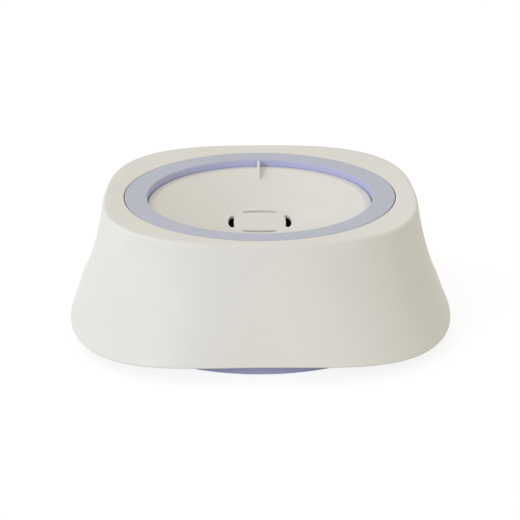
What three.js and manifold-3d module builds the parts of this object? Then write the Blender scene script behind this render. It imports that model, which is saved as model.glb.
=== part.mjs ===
// Heated pet bowl with a floating plate. A round water bowl stands on a warm plate inside a
// housing, and a skirt that is a rounded square in plan covers it all.
// Millimetres, +Z up. The origin is on the floor under the middle of the bowl, the front faces -Y.

import * as THREE from "three";
import { mergeVertices } from "three/addons/utils/BufferGeometryUtils.js";
import Module from "manifold-3d";

const wasm = await Module();
wasm.setup();

// Clearances shared by the pieces
const seatGap = 0.3; // between two pieces that touch
const rimGap = 0.6; // shadow line round the bowl's rim
const floatGap = 0.6; // the float runs in the bowl with this much room
const cutOverrun = 1; // how far a cutter runs past what it cuts

// Outer shell: the skirt is squarer and wider at its lip than at its crest
const topFaceWidth = 12.2; // from the opening to the crest, at the middle of each side
const skirtFlare = 23.45; // how much further out the lip is than the crest
const lipHeight = 7.2; // at the corners
const lipArch = 2.9; // how much higher the lip is at the middle of each side
const lipArchShare = 0.89; // 0 arches the lip like a wave, more flattens its middle
const ringHeight = 76.95; // outer edge of the bowl's rim
const crestRise = 2.7; // the crest stands this far above the rim, before it is rounded
const crestRound = 2.2;
const openingEdgeRound = 0.6;
const shellWall = 2.6;
const ledgeThickness = 2.4;
const lipSquareness = 3.03;
const crestSquareness = 2.78;
const flareShare = 0.57; // 0 makes the skirt straight, 1 bends it like a parabola
const shoulderShare = 0.0084; // how much fuller the lip's plan is beside its corners
const skirtShares = [0.82, 0.6, 0.38, 0.17]; // places down the skirt, 1 is the lip

// Cord outlet at the back of the lip
const outletWidth = 16;
const outletHeight = 14.6;
const outletRound = 4;

// Screw bosses inside the shell, and the long screws that clamp pan, housing and shell together
const bossInset = 16; // from the pan's edge
const bossRadius = 4.5;
const shellScrewRadius = 1.5;
const shellScrewHeadRadius = 2.9;
const shellScrewHeadHeight = 1.6;
const shellScrewGrip = 11; // length inside the boss
const screwHoleGap = 0.25; // room round a screw's shank
const driveRadiusShare = 0.45;
const driveDepthShare = 0.5;

// Water bowl
const bowlRadius = 74.2;
const bowlWall = 2;
const rimWidth = 14.5;
const rimFall = 0.85; // the rim's top falls this much to the inside
const rimThickness = 2.6;
const rimOuterRound = 0.5;
const rimInnerRound = 0.8;
const bowlFloorThickness = 2.2;
const bowlFloorRound = 12;

// Float: the plate that shows, and the chamber welded under it
const floatDrop = 5.65; // its band lies this far below the outer edge of the bowl's rim
const dishDepth = 14.65;
const bandWidth = 4.7; // flat band round the dish
const dishPower = 1.2; // 1 is a plain cone, 2 a parabola
const platePlastic = 2.6;
const floatSkirtHeight = 8.5;
const floatSkirtWall = 2.2;
const floatEdgeRound = 0.3;
const padHalfWidth = 17.3;
const openingWidth = 3.75; // of each of the four openings, at its middle
const padEdgeRadius = 90; // the pad's sides bulge a little
const openingHalfAngle = 32.5; // degrees each side of an opening's middle
const openingSquareness = 2.5; // 2 lays the openings' outer sides on a circle, more squares it off
const chamberDepth = 8.65; // below the pad's top
const chamberWall = 1.8;
const chamberRound = 9;
const chamberTubeMargin = 2.35; // from the openings' circle to the tube's wall
const chamberTubeRound = 2;

// Lifting fin on the float plate
const finThickness = 1.8;
const finReach = 12.3; // how far it runs down the dish
const finWallGap = 1.9; // from the bowl's wall
const finDrop = 0.95; // its top lies this far below the outer edge of the rim
const finTopLength = 2.2; // level stretch of its top edge
const finRootDepth = 1.2; // how deep it roots in the plate
const finShoulderShare = 0.35; // where its curved edge is pulled towards, from the toe to the level top

// Base pan
const footProtrusion = 1; // the pan stands this far above the floor
const skirtOverhang = 10.95; // how far the skirt's lip stands out past the pan
const panWall = 1.8;
const panFloor = 1.8;
const panEdgeRound = 1.2;
const panInnerRound = 1;

// Rubber feet, set in cups in the pan
const footRadius = 8;
const footTaper = 0.5;
const footEdgeRound = 0.4;
const footRecess = 2.3;
const footCupWall = 1.5;
const footShelf = 1.8; // plastic above the screw's head
const headRoom = 0.3; // between the foot and the screw's head

// Inner housing
const cupGap = 3.3; // warm air space round the bowl
const cupWall = 2;
const cupFloorRound = 3;
const flangeThickness = 2;
const deckRise = 7.7; // deck's top above the flange's underside
const deckThickness = 2;
const deckSealThickness = 1;
const deckSealInset = 0.2;

// Heater stack in the deck
const deckHoleRadius = 44;
const rebateWidth = 9;
const rebateDepth = 1.5;
const heatPlateThickness = 1.5;
const plateSealWidth = 2;
const plateSealHeight = 1.3;
const filmThickness = 0.4;
const filmMargin = 2.6; // film's edge to the deck's hole
const insulationThickness = 5;
const insulationMargin = 1.2;
const retainerThickness = 2;
const retainerLap = 2; // how far the retainer laps over the deck's hole
const retainerScrewMargin = 5; // from the rebate to the screws
const retainerEarRadius = 4.5;
const retainerBossRadius = 3.5;
const smallScrewRadius = 1.25;
const smallScrewHeadRadius = 2.3;
const smallScrewHeadHeight = 1.5;
const retainerScrewGrip = 4.4;

// Sensor and fuse, in holes of the insulation pad
const thermistorRadius = 1.6;
const thermistorLength = 5;
const thermistorPlaceShare = [0.42, 0.22]; // shares of the deck hole's radius
const fuseRadius = 2;
const fuseLength = 11;
const fuseWireRadius = 0.5;
const fuseWireLength = 1.6;
const fusePlaceShare = [-0.45, -0.12];
const pocketGap = 0.5; // room round the sensor and the fuse
const heaterLeadPlaceShare = [-0.14, 0.68];

// Control board on four posts of the pan
const boardWidth = 52;
const boardDepth = 34;
const boardThickness = 1.6;
const boardSocketGap = 14.4; // room for the socket's lead
const boardPostHeight = 3.2;
const boardPostRadius = 3;
const boardHoleInset = 3.4;
const boardScrewRadius = 1.1;
const boardScrewHeadRadius = 2.1;
const boardScrewHeadHeight = 1.3;
const boardScrewReserve = 0.6; // plastic left under the screw's tip

// What stands on the board; places are shares of the board's half width and half depth
const chipSide = 8;
const chipHeight = 1.4;
const chipPlaceShare = [-0.42, -0.2];
const transistorWidth = 10;
const transistorDepth = 9;
const transistorHeight = 2.6;
const transistorPlaceShare = [0.5, 0.3];
const capacitorRadius = 3.6;
const capacitorHeight = 6.4;
const capacitorPlaceShare = [-0.42, 0.5];
const terminalWidth = 8;
const terminalDepth = 7;
const terminalHeight = 6;
const heaterTerminalPlaceShare = [0.02, -0.62];
const sensorTerminalPlaceShare = [0.5, -0.62];
const powerTerminalPlaceShare = [0.05, 0.62];

// Power socket in the pan's back wall
const socketWidth = 11;
const socketDepth = 13;
const socketHeight = 10.6;
const socketNoseRadius = 4;
const socketBoreRadius = 2.9;
const socketBoreDepth = 9.5;
const socketPinRadius = 1;
const socketPinInset = 1.5; // the pin's tip to the socket's mouth
const socketHoleGap = 0.3;
const socketSealWidth = 0.9;
const socketSealThickness = 1;
const socketWallRoom = 0.5; // the wall is round, the seal is flat
const socketHeadroom = 1.3; // from the socket's top to the pan's

// Leads, each a pair of wires in one sleeve
const leadRadius = 1.2;
const leadHoleGap = 0.5;
const leadDrop = 9; // straight down through the pad and the retainer
const leadReach = 4; // straight run before a terminal
const leadFallShare = 0.7; // how far a lead has fallen halfway to its terminal

// Numbers of steps and copies
const roundSteps = 64;
const hiddenSteps = 40;
const discSteps = 32;
const smallSteps = 16;
const screwSteps = 10;
const filletSteps = 3;
const dishSteps = 5;
const dishUndersideSteps = 2;
const finSteps = 5;
const openingSteps = 10;
const leadSteps = 12;
const leadSides = 4; // steps of each half of a lead's round section
const cornerCount = 4;

// Radii, from the bowl's out
const rimRadius = bowlRadius + rimWidth;
const wellRadius = rimRadius + rimGap;
const crestHalfWidth = wellRadius + topFaceWidth;
const lipHalfWidth = crestHalfWidth + skirtFlare;
const panRadius = lipHalfWidth - skirtOverhang;
const bossCircle = panRadius - bossInset;
const cupRadius = bowlRadius + bowlWall + cupGap;
const rebateRadius = deckHoleRadius + rebateWidth;
const retainerRadius = deckHoleRadius + retainerLap;
const retainerScrewCircle = rebateRadius + retainerScrewMargin;

// Radii of the float, from the bowl's in
const floatRadius = bowlRadius - floatGap;
const dishRadius = floatRadius - bandWidth;
const finInnerRadius = dishRadius - finReach;
const chamberRadius = floatRadius - floatSkirtWall - seatGap;
const openingRadius = padHalfWidth + openingWidth;
const chamberTubeRadius = openingRadius + chamberTubeMargin;

// The socket and the board, from the pan's back wall to the front
const socketFront = panRadius - panWall - socketWallRoom - socketSealThickness - seatGap;
const socketBack = socketFront - socketDepth;
const boardMiddle = socketBack - boardSocketGap - boardDepth / 2;

// Heights, from the floor up and from the rim down
const panFloorTop = footProtrusion + panFloor;
const socketMiddle = panFloorTop + seatGap + socketHeight / 2;
const panTop = socketMiddle + socketHeight / 2 + socketHeadroom;
const flangeBottom = panTop + seatGap + deckSealThickness + seatGap;
const flangeTop = flangeBottom + flangeThickness;
const deckTop = flangeBottom + deckRise;
const rebateFloor = deckTop - rebateDepth;
const heatPlateBottom = rebateFloor + seatGap;
const heatPlateTop = heatPlateBottom + heatPlateThickness;
const filmTop = heatPlateBottom - seatGap;
const filmBottom = filmTop - filmThickness;
const insulationTop = filmBottom - seatGap;
const insulationBottom = insulationTop - insulationThickness;
const retainerTop = insulationBottom - seatGap;
const retainerBottom = retainerTop - retainerThickness;
const bowlBottom = heatPlateTop + seatGap;
const bowlFloor = bowlBottom + bowlFloorThickness;
const crestHeight = ringHeight + crestRise;
const rimBottom = ringHeight - rimThickness;
const ledgeTop = rimBottom - seatGap;
const ledgeBottom = ledgeTop - ledgeThickness;
const cupTop = ledgeBottom - seatGap;
const floatTop = ringHeight - floatDrop;
const padTop = floatTop - dishDepth;
const chamberBottom = padTop - chamberDepth;

const finishes = {
  cream: { color: 0xdedbd3, roughness: 0.42, metalness: 0 },
  lavender: { color: 0xb4b8cf, roughness: 0.45, metalness: 0 },
  housing: { color: 0xd3d1cb, roughness: 0.55, metalness: 0 },
  rubber: { color: 0x2b2b2e, roughness: 0.85, metalness: 0 },
  silicone: { color: 0xc9ccd2, roughness: 0.7, metalness: 0 },
  aluminium: { color: 0xc4c6c8, roughness: 0.35, metalness: 0.9 },
  steel: { color: 0x9da0a4, roughness: 0.35, metalness: 0.95 },
  film: { color: 0xc0792b, roughness: 0.3, metalness: 0 },
  foam: { color: 0xb9b9b4, roughness: 0.95, metalness: 0 },
  board: { color: 0x1f5b3a, roughness: 0.5, metalness: 0 },
  black: { color: 0x1c1c1f, roughness: 0.5, metalness: 0 },
  terminal: { color: 0xe8e5da, roughness: 0.5, metalness: 0 },
  sleeve: { color: 0x33343a, roughness: 0.6, metalness: 0 },
};

const bowlHeater = new THREE.Group();

// A closed geometry as a solid: shared corners merged, faces without area left out.
function solidOf(geometry) {
  const bare = geometry.clone();
  bare.deleteAttribute("normal");
  bare.deleteAttribute("uv");
  const merged = mergeVertices(bare);
  const corners = merged.index.array;
  const faces = [];
  for (let i = 0; i < corners.length; i += 3) {
    const [a, b, c] = [corners[i], corners[i + 1], corners[i + 2]];
    if (a !== b && b !== c && c !== a) faces.push(a, b, c);
  }
  const mesh = new wasm.Mesh({
    numProp: 3,
    vertProperties: new Float32Array(merged.attributes.position.array),
    triVerts: new Uint32Array(faces),
  });
  return new wasm.Manifold(mesh);
}

function geometryOf(solid) {
  const { vertProperties, triVerts } = solid.getMesh();
  const geometry = new THREE.BufferGeometry();
  geometry.setAttribute("position", new THREE.Float32BufferAttribute(vertProperties, 3));
  geometry.setIndex(new THREE.BufferAttribute(new Uint32Array(triVerts), 1));
  geometry.computeVertexNormals();
  return geometry;
}

function addPiece(name, solid, finish) {
  const mesh = new THREE.Mesh(geometryOf(solid), new THREE.MeshStandardMaterial(finishes[finish]));
  mesh.name = name;
  bowlHeater.add(mesh);
}

const mix = (from, to, share) => from + (to - from) * share;
const join = (solids) => solids.reduce((sum, next) => sum.add(next));
const cut = (solid, cutters) => cutters.reduce((rest, next) => rest.subtract(next), solid);

// A corner of an outline turned into an arc. The arc is limited by the sides that it joins.
function roundCorner(before, here, after, radius) {
  const toBefore = before.clone().sub(here);
  const toAfter = after.clone().sub(here);
  const room = Math.min(toBefore.length(), toAfter.length()) / 2;
  toBefore.normalize();
  toAfter.normalize();
  const half = Math.acos(THREE.MathUtils.clamp(toBefore.dot(toAfter), -1, 1)) / 2;
  const reach = Math.min(radius / Math.tan(half), room);
  const arcRadius = reach * Math.tan(half);
  const inward = toBefore.clone().add(toAfter).normalize();
  const centre = here.clone().addScaledVector(inward, arcRadius / Math.sin(half));
  const start = here.clone().addScaledVector(toBefore, reach).sub(centre).angle();
  const end = here.clone().addScaledVector(toAfter, reach).sub(centre).angle();
  const turn = Math.atan2(Math.sin(end - start), Math.cos(end - start));
  return Array.from({ length: filletSteps + 1 }, (_, i) => {
    const angle = start + (turn * i) / filletSteps;
    return new THREE.Vector2(Math.cos(angle), Math.sin(angle)).multiplyScalar(arcRadius).add(centre);
  });
}

// Corners are [radius, height] or [radius, height, round].
function outline(corners) {
  const points = corners.map(([r, z]) => new THREE.Vector2(r, z));
  const count = points.length;
  return corners.flatMap(([, , round], i) =>
    round
      ? roundCorner(points[(i + count - 1) % count], points[i], points[(i + 1) % count], round)
      : [points[i]],
  );
}

// Turns an outline round the Z axis. It either starts and ends on the axis or closes on itself.
function revolve(corners, steps = roundSteps) {
  const points = outline(corners);
  const onAxis = corners[0][0] === 0;
  if (!onAxis) points.push(points[0].clone());
  return new THREE.LatheGeometry(points, steps).rotateX(Math.PI / 2);
}

// An upright cylinder.
function rod(radius, bottom, top, steps = smallSteps) {
  const cylinder = new THREE.CylinderGeometry(radius, radius, top - bottom, steps);
  return cylinder.rotateX(Math.PI / 2).translate(0, 0, (bottom + top) / 2);
}

// A block that stands on a height, with its middle over x and y.
function block(width, depth, height, x, y, bottom) {
  return new THREE.BoxGeometry(width, depth, height).translate(x, y, bottom + height / 2);
}

// A flat ring or disc with square edges.
function ring(innerRadius, outerRadius, bottom, top, steps = hiddenSteps) {
  return revolve(
    [
      [innerRadius, bottom],
      [outerRadius, bottom],
      [outerRadius, top],
      [innerRadius, top],
    ],
    steps,
  );
}

// The four places over the corners of the skirt, on a circle.
function cornerPlaces(circle) {
  return Array.from({ length: cornerCount }, (_, i) => {
    const angle = ((2 * i + 1) / cornerCount) * Math.PI;
    return [circle * Math.cos(angle), circle * Math.sin(angle)];
  });
}

const atPlaces = (places, make) => places.map(([x, y]) => solidOf(make().translate(x, y, 0)));

// A pan-head screw that points up, or down when it is turned.
function screw(shank, head, headHeight, length, pointsDown = false) {
  const driveRadius = head * driveRadiusShare;
  const driveDepth = headHeight * driveDepthShare;
  const body = revolve(
    [
      [0, driveDepth],
      [driveRadius, driveDepth],
      [driveRadius, 0],
      [head, 0],
      [head, headHeight],
      [shank, headHeight],
      [shank, headHeight + length],
      [0, headHeight + length],
    ],
    screwSteps,
  );
  return pointsDown ? body.rotateX(Math.PI) : body;
}

// Outer shell

function squircle(halfWidth, squareness, angle) {
  const c = Math.abs(Math.cos(angle)) ** squareness;
  const s = Math.abs(Math.sin(angle)) ** squareness;
  return halfWidth * (c + s) ** (-1 / squareness);
}

// A point of the skirt's section: share 0 is the crest and 1 the lip.
function skirtPoint(angle, share, inset) {
  const arch = Math.cos(2 * angle) ** 2;
  const lip = lipHeight + lipArch * arch * (1 + lipArchShare * (1 - arch));
  const height = mix(crestHeight, lip, share);
  const depthShare = (crestHeight - height) / (crestHeight - lipHeight);
  const flare = depthShare - flareShare * (depthShare - depthShare ** 2);
  const halfWidth = mix(crestHalfWidth, lipHalfWidth, flare);
  const squareness = mix(crestSquareness, lipSquareness, depthShare);
  const shoulder = 1 + shoulderShare * depthShare * Math.sin(4 * angle) ** 2;
  return [squircle(halfWidth, squareness, angle) * shoulder - inset, height];
}

// Height of the shell's top face, which falls from the crest to the opening.
function topFaceHeight(angle, radius) {
  const [crest] = skirtPoint(angle, 0, 0);
  return mix(ringHeight, crestHeight, (radius - wellRadius) / (crest - wellRadius));
}

function shellSection(angle) {
  const [crest] = skirtPoint(angle, 0, 0);
  const insideCrest = crest - shellWall;
  const outsideWell = wellRadius + shellWall;
  const inwards = [...skirtShares].reverse();
  return outline([
    skirtPoint(angle, 1, 0),
    ...skirtShares.map((share) => skirtPoint(angle, share, 0)),
    [crest, crestHeight, crestRound],
    [wellRadius, ringHeight, openingEdgeRound],
    [wellRadius, ledgeTop],
    [cupRadius, ledgeTop],
    [cupRadius, ledgeBottom],
    [outsideWell, ledgeBottom],
    [outsideWell, topFaceHeight(angle, outsideWell) - shellWall],
    [insideCrest, topFaceHeight(angle, insideCrest) - shellWall],
    ...inwards.map((share) => skirtPoint(angle, share, shellWall)),
    skirtPoint(angle, 1, shellWall),
  ]);
}

// A solid ring whose section may change with the angle round the Z axis.
function loft(sectionAt, steps) {
  const sections = Array.from({ length: steps }, (_, i) => {
    const angle = (i / steps) * 2 * Math.PI;
    return sectionAt(angle).map((p) => [p.x * Math.cos(angle), p.x * Math.sin(angle), p.y]);
  });
  const count = sections[0].length;
  const faces = [];
  for (let i = 0; i < steps; i++) {
    for (let j = 0; j < count; j++) {
      const a = i * count + j;
      const b = i * count + ((j + 1) % count);
      const c = ((i + 1) % steps) * count + j;
      const d = ((i + 1) % steps) * count + ((j + 1) % count);
      faces.push(a, c, b, b, c, d);
    }
  }
  const geometry = new THREE.BufferGeometry();
  geometry.setAttribute("position", new THREE.Float32BufferAttribute(sections.flat(2), 3));
  geometry.setIndex(faces);
  return geometry;
}

// The notch that lets the power cord out, cut through the back of the skirt.
function outletCutter() {
  const half = outletWidth / 2;
  const shape = new THREE.Shape();
  shape.moveTo(-half, 0);
  shape.lineTo(half, 0);
  shape.lineTo(half, outletHeight - outletRound);
  shape.absarc(half - outletRound, outletHeight - outletRound, outletRound, 0, Math.PI / 2);
  shape.absarc(outletRound - half, outletHeight - outletRound, outletRound, Math.PI / 2, Math.PI);
  const depth = lipHalfWidth + cutOverrun - panRadius;
  const settings = { depth, bevelEnabled: false, curveSegments: filletSteps };
  const geometry = new THREE.ExtrudeGeometry(shape, settings);
  return geometry.rotateX(Math.PI / 2).translate(0, lipHalfWidth + cutOverrun, 0);
}

const shellBossBottom = flangeTop + seatGap;
const shellScrewTop = shellBossBottom + shellScrewGrip;
const bossPlaces = cornerPlaces(bossCircle);

function makeOuterShell() {
  const diagonal = Math.PI / cornerCount;
  const bossTop = topFaceHeight(diagonal, bossCircle) - shellWall / 2;
  const boss = () => rod(bossRadius, shellBossBottom, bossTop);
  const coreRadius = shellScrewRadius + screwHoleGap;
  const core = () =>
    rod(coreRadius, shellBossBottom - cutOverrun, shellScrewTop + cutOverrun, screwSteps);
  const body = join([solidOf(loft(shellSection, roundSteps)), ...atPlaces(bossPlaces, boss)]);
  return cut(body, [...atPlaces(bossPlaces, core), solidOf(outletCutter())]);
}

// Water bowl

function makeWaterBowl() {
  const outside = bowlRadius + bowlWall;
  return solidOf(
    revolve([
      [0, bowlBottom],
      [outside, bowlBottom, bowlFloorRound + bowlWall],
      [outside, rimBottom],
      [rimRadius, rimBottom],
      [rimRadius, ringHeight, rimOuterRound],
      [bowlRadius, ringHeight - rimFall, rimInnerRound],
      [bowlRadius, bowlFloor, bowlFloorRound],
      [0, bowlFloor],
    ]),
  );
}

// Float

// Top of the dish at a radius, from the opening circle out to the band.
function dishHeight(radius) {
  const share = THREE.MathUtils.clamp((radius - openingRadius) / (dishRadius - openingRadius), 0, 1);
  return padTop + dishDepth * share ** dishPower;
}

function dishPoints(drop, steps) {
  return Array.from({ length: steps + 1 }, (_, i) => {
    const radius = mix(openingRadius, dishRadius, i / steps);
    return [radius, dishHeight(radius) - drop];
  });
}

// One of the four openings, on the +X side: a stretch of a squared-off circle and the pad's bulged side.
function openingShape() {
  const half = THREE.MathUtils.degToRad(openingHalfAngle);
  const padCentre = padHalfWidth - padEdgeRadius;
  // where the pad's side meets the line from the middle at the half angle
  const along = padCentre * Math.cos(half);
  const reach = along + Math.sqrt(along ** 2 - padCentre ** 2 + padEdgeRadius ** 2);
  const sideAngle = Math.asin((reach * Math.sin(half)) / padEdgeRadius);
  const outerSide = Array.from({ length: openingSteps + 1 }, (_, i) => {
    const angle = mix(-half, half, i / openingSteps);
    const radius = squircle(openingRadius, openingSquareness, angle);
    return new THREE.Vector2(radius * Math.cos(angle), radius * Math.sin(angle));
  });
  const shape = new THREE.Shape(outerSide);
  shape.absarc(padCentre, 0, padEdgeRadius, sideAngle, -sideAngle, true);
  return shape;
}

function openingCutter(turn) {
  const depth = platePlastic + 2 * cutOverrun;
  const settings = { depth, bevelEnabled: false, curveSegments: openingSteps };
  const bottom = padTop - platePlastic - cutOverrun;
  return new THREE.ExtrudeGeometry(openingShape(), settings).translate(0, 0, bottom).rotateZ(turn);
}

// The upright fin that a finger lifts the float by, in its section across the band.
function liftingFin() {
  const outer = bowlRadius - finWallGap;
  const top = ringHeight - finDrop;
  const shape = new THREE.Shape();
  shape.moveTo(finInnerRadius, dishHeight(finInnerRadius) - finRootDepth);
  shape.lineTo(outer, floatTop - finRootDepth);
  shape.lineTo(outer, top);
  shape.lineTo(outer - finTopLength, top);
  const shoulder = [mix(finInnerRadius, outer - finTopLength, finShoulderShare), top];
  const toe = [finInnerRadius, dishHeight(finInnerRadius)];
  shape.quadraticCurveTo(...shoulder, ...toe);
  const settings = { depth: finThickness, bevelEnabled: false, curveSegments: finSteps };
  const geometry = new THREE.ExtrudeGeometry(shape, settings);
  return geometry.translate(0, 0, -finThickness / 2).rotateX(Math.PI / 2).rotateZ(Math.PI / 2);
}

function makeFloatPlate() {
  const skirtBottom = floatTop - floatSkirtHeight;
  const insideSkirt = floatRadius - floatSkirtWall;
  const plate = revolve([
    [0, padTop - platePlastic],
    ...dishPoints(platePlastic, dishUndersideSteps),
    [insideSkirt, floatTop - platePlastic],
    [insideSkirt, skirtBottom],
    [floatRadius, skirtBottom],
    [floatRadius, floatTop, floatEdgeRound],
    ...dishPoints(0, dishSteps).reverse(),
    [0, padTop],
  ]);
  const turns = Array.from({ length: cornerCount }, (_, i) => (i / cornerCount) * 2 * Math.PI);
  const cutters = turns.map((turn) => solidOf(openingCutter(turn)));
  return cut(join([solidOf(plate), solidOf(liftingFin())]), cutters);
}

function makeFloatChamber() {
  const top = floatTop - platePlastic - seatGap;
  const tubeTop = dishHeight(chamberTubeRadius) - platePlastic - seatGap;
  const tubeOutside = chamberTubeRadius + chamberWall;
  const section = [
    [chamberTubeRadius, chamberBottom, chamberTubeRound],
    [chamberRadius, chamberBottom, chamberRound],
    [chamberRadius, top],
    [chamberRadius - chamberWall, top],
    [chamberRadius - chamberWall, chamberBottom + chamberWall, chamberRound - chamberWall],
    [tubeOutside, chamberBottom + chamberWall],
    [tubeOutside, tubeTop],
    [chamberTubeRadius, tubeTop],
  ];
  return solidOf(revolve(section, hiddenSteps));
}

// Base pan, feet and the long screws

const footCeiling = footProtrusion + footRecess;
const headBottom = footCeiling + headRoom;
const headSeat = headBottom + shellScrewHeadHeight + seatGap;
const boardPostTop = panFloorTop + boardPostHeight;
const boardBottom = boardPostTop + seatGap;
const boardTop = boardBottom + boardThickness;
const boardScrewLength = boardTop + seatGap - panFloorTop - boardScrewReserve;
const boardHolePlaces = [-1, 1].flatMap((i) =>
  [-1, 1].map((j) => [
    i * (boardWidth / 2 - boardHoleInset),
    boardMiddle + j * (boardDepth / 2 - boardHoleInset),
  ]),
);

// An upright cylinder laid down to run along Y, its middle at the socket's height.
const socketRod = (radius, front, back, steps = smallSteps) =>
  rod(radius, front, back, steps).rotateX(-Math.PI / 2).translate(0, 0, socketMiddle);

function makeBasePan() {
  const section = [
    [0, footProtrusion],
    [panRadius, footProtrusion, panEdgeRound],
    [panRadius, panTop],
    [panRadius - panWall, panTop],
    [panRadius - panWall, panFloorTop, panInnerRound],
    [0, panFloorTop],
  ];
  const pan = revolve(section, hiddenSteps);
  const cupOutside = footRadius + seatGap + footCupWall;
  const screwHole = shellScrewRadius + screwHoleGap;
  const postTop = flangeBottom - seatGap;
  const below = footProtrusion - cutOverrun;
  const midFloor = footProtrusion + panFloor / 2;
  const added = [
    ...atPlaces(bossPlaces, () => rod(cupOutside, midFloor, headSeat + footShelf)),
    ...atPlaces(bossPlaces, () => rod(bossRadius, midFloor, postTop)),
    ...atPlaces(boardHolePlaces, () => rod(boardPostRadius, midFloor, boardPostTop, screwSteps)),
  ];
  const boardHole = boardScrewRadius + screwHoleGap;
  const removed = [
    ...atPlaces(bossPlaces, () => rod(footRadius + seatGap, below, footCeiling)),
    ...atPlaces(bossPlaces, () => rod(shellScrewHeadRadius + seatGap, below, headSeat)),
    ...atPlaces(bossPlaces, () => rod(screwHole, below, postTop + cutOverrun, screwSteps)),
    ...atPlaces(boardHolePlaces, () =>
      rod(boardHole, panFloorTop, boardPostTop + cutOverrun, screwSteps),
    ),
    solidOf(
      socketRod(
        socketNoseRadius + socketHoleGap,
        panRadius - panWall - cutOverrun,
        panRadius + cutOverrun,
      ),
    ),
  ];
  return cut(join([solidOf(pan), ...added]), removed);
}

function addFeetAndScrews() {
  bossPlaces.forEach(([x, y], i) => {
    const foot = revolve(
      [
        [0, 0],
        [footRadius - footTaper, 0, footEdgeRound],
        [footRadius, footProtrusion],
        [footRadius, footCeiling - seatGap],
        [0, footCeiling - seatGap],
      ],
      smallSteps,
    );
    addPiece(`rubber_foot_${i + 1}`, solidOf(foot.translate(x, y, 0)), "rubber");
    const length = shellScrewTop - headBottom - shellScrewHeadHeight;
    const long = screw(shellScrewRadius, shellScrewHeadRadius, shellScrewHeadHeight, length);
    addPiece(`shell_screw_${i + 1}`, solidOf(long.translate(x, y, headBottom)), "steel");
  });
}

// Inner housing with the heater stack in its deck

const retainerPlaces = cornerPlaces(retainerScrewCircle);
const retainerBossBottom = retainerTop + seatGap;

function makeInnerHousing() {
  const section = [
    [deckHoleRadius, rebateFloor - deckThickness],
    [rebateRadius + deckThickness, rebateFloor - deckThickness],
    [rebateRadius + deckThickness, deckTop - deckThickness],
    [cupRadius, deckTop - deckThickness],
    [cupRadius, flangeBottom],
    [panRadius, flangeBottom],
    [panRadius, flangeTop],
    [cupRadius + cupWall, flangeTop],
    [cupRadius + cupWall, cupTop],
    [cupRadius, cupTop],
    [cupRadius, deckTop, cupFloorRound],
    [rebateRadius, deckTop],
    [rebateRadius, rebateFloor],
    [deckHoleRadius, rebateFloor],
  ];
  const body = revolve(section, hiddenSteps);
  const bossTop = deckTop - deckThickness / 2;
  const hole = shellScrewRadius + screwHoleGap;
  const core = smallScrewRadius + screwHoleGap;
  const coreTop = retainerBossBottom + retainerScrewGrip + seatGap;
  const bosses = atPlaces(retainerPlaces, () => rod(retainerBossRadius, retainerBossBottom, bossTop));
  return cut(join([solidOf(body), ...bosses]), [
    ...atPlaces(bossPlaces, () =>
      rod(hole, flangeBottom - cutOverrun, flangeTop + cutOverrun, screwSteps),
    ),
    ...atPlaces(retainerPlaces, () =>
      rod(core, retainerBossBottom - cutOverrun, coreTop, screwSteps),
    ),
  ]);
}

const insulationRadius = deckHoleRadius - insulationMargin;
const inStack = ([x, y]) => [x * deckHoleRadius, y * deckHoleRadius];
const thermistorPlace = inStack(thermistorPlaceShare);
const fusePlace = inStack(fusePlaceShare);
const heaterLeadPlace = inStack(heaterLeadPlaceShare);
const leadHoleRadius = leadRadius + leadHoleGap;

const uprightHole = (radius, [x, y], bottom, top) =>
  solidOf(rod(radius, bottom - cutOverrun, top + cutOverrun, screwSteps).translate(x, y, 0));

function makeInsulationPad() {
  const pad = solidOf(rod(insulationRadius, insulationBottom, insulationTop, discSteps));
  const fuseRoom = fuseLength + 2 * (fuseWireLength + pocketGap);
  const pocketHeight = insulationThickness + 2 * cutOverrun;
  const pocketBottom = insulationBottom - cutOverrun;
  const pocketDepth = 2 * (fuseRadius + pocketGap);
  return cut(pad, [
    uprightHole(thermistorRadius + pocketGap, thermistorPlace, insulationBottom, insulationTop),
    uprightHole(leadHoleRadius, heaterLeadPlace, insulationBottom, insulationTop),
    solidOf(block(fuseRoom, pocketDepth, pocketHeight, ...fusePlace, pocketBottom)),
  ]);
}

function makeHeaterRetainer() {
  const armLength = 2 * retainerScrewCircle;
  const armWidth = 2 * retainerEarRadius;
  const arms = [1, -1].map((side) =>
    solidOf(
      block(armLength, armWidth, retainerThickness, 0, 0, retainerBottom).rotateZ((side * Math.PI) / 4),
    ),
  );
  const ears = atPlaces(retainerPlaces, () => rod(retainerEarRadius, retainerBottom, retainerTop));
  const disc = solidOf(rod(retainerRadius, retainerBottom, retainerTop, discSteps));
  const hole = smallScrewRadius + screwHoleGap;
  return cut(join([disc, ...arms, ...ears]), [
    ...retainerPlaces.map((place) => uprightHole(hole, place, retainerBottom, retainerTop)),
    uprightHole(leadHoleRadius, thermistorPlace, retainerBottom, retainerTop),
    uprightHole(leadHoleRadius, heaterLeadPlace, retainerBottom, retainerTop),
  ]);
}

function makeThermalFuse() {
  const wireHalf = fuseLength / 2 + fuseWireLength;
  const body = rod(fuseRadius, -fuseLength / 2, fuseLength / 2, screwSteps);
  const wire = rod(fuseWireRadius, -wireHalf, wireHalf, leadSides);
  const fuse = join([solidOf(body.rotateY(Math.PI / 2)), solidOf(wire.rotateY(Math.PI / 2))]);
  const [x, y] = fusePlace;
  return solidOf(geometryOf(fuse).translate(x, y, filmBottom - seatGap - fuseRadius));
}

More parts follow.
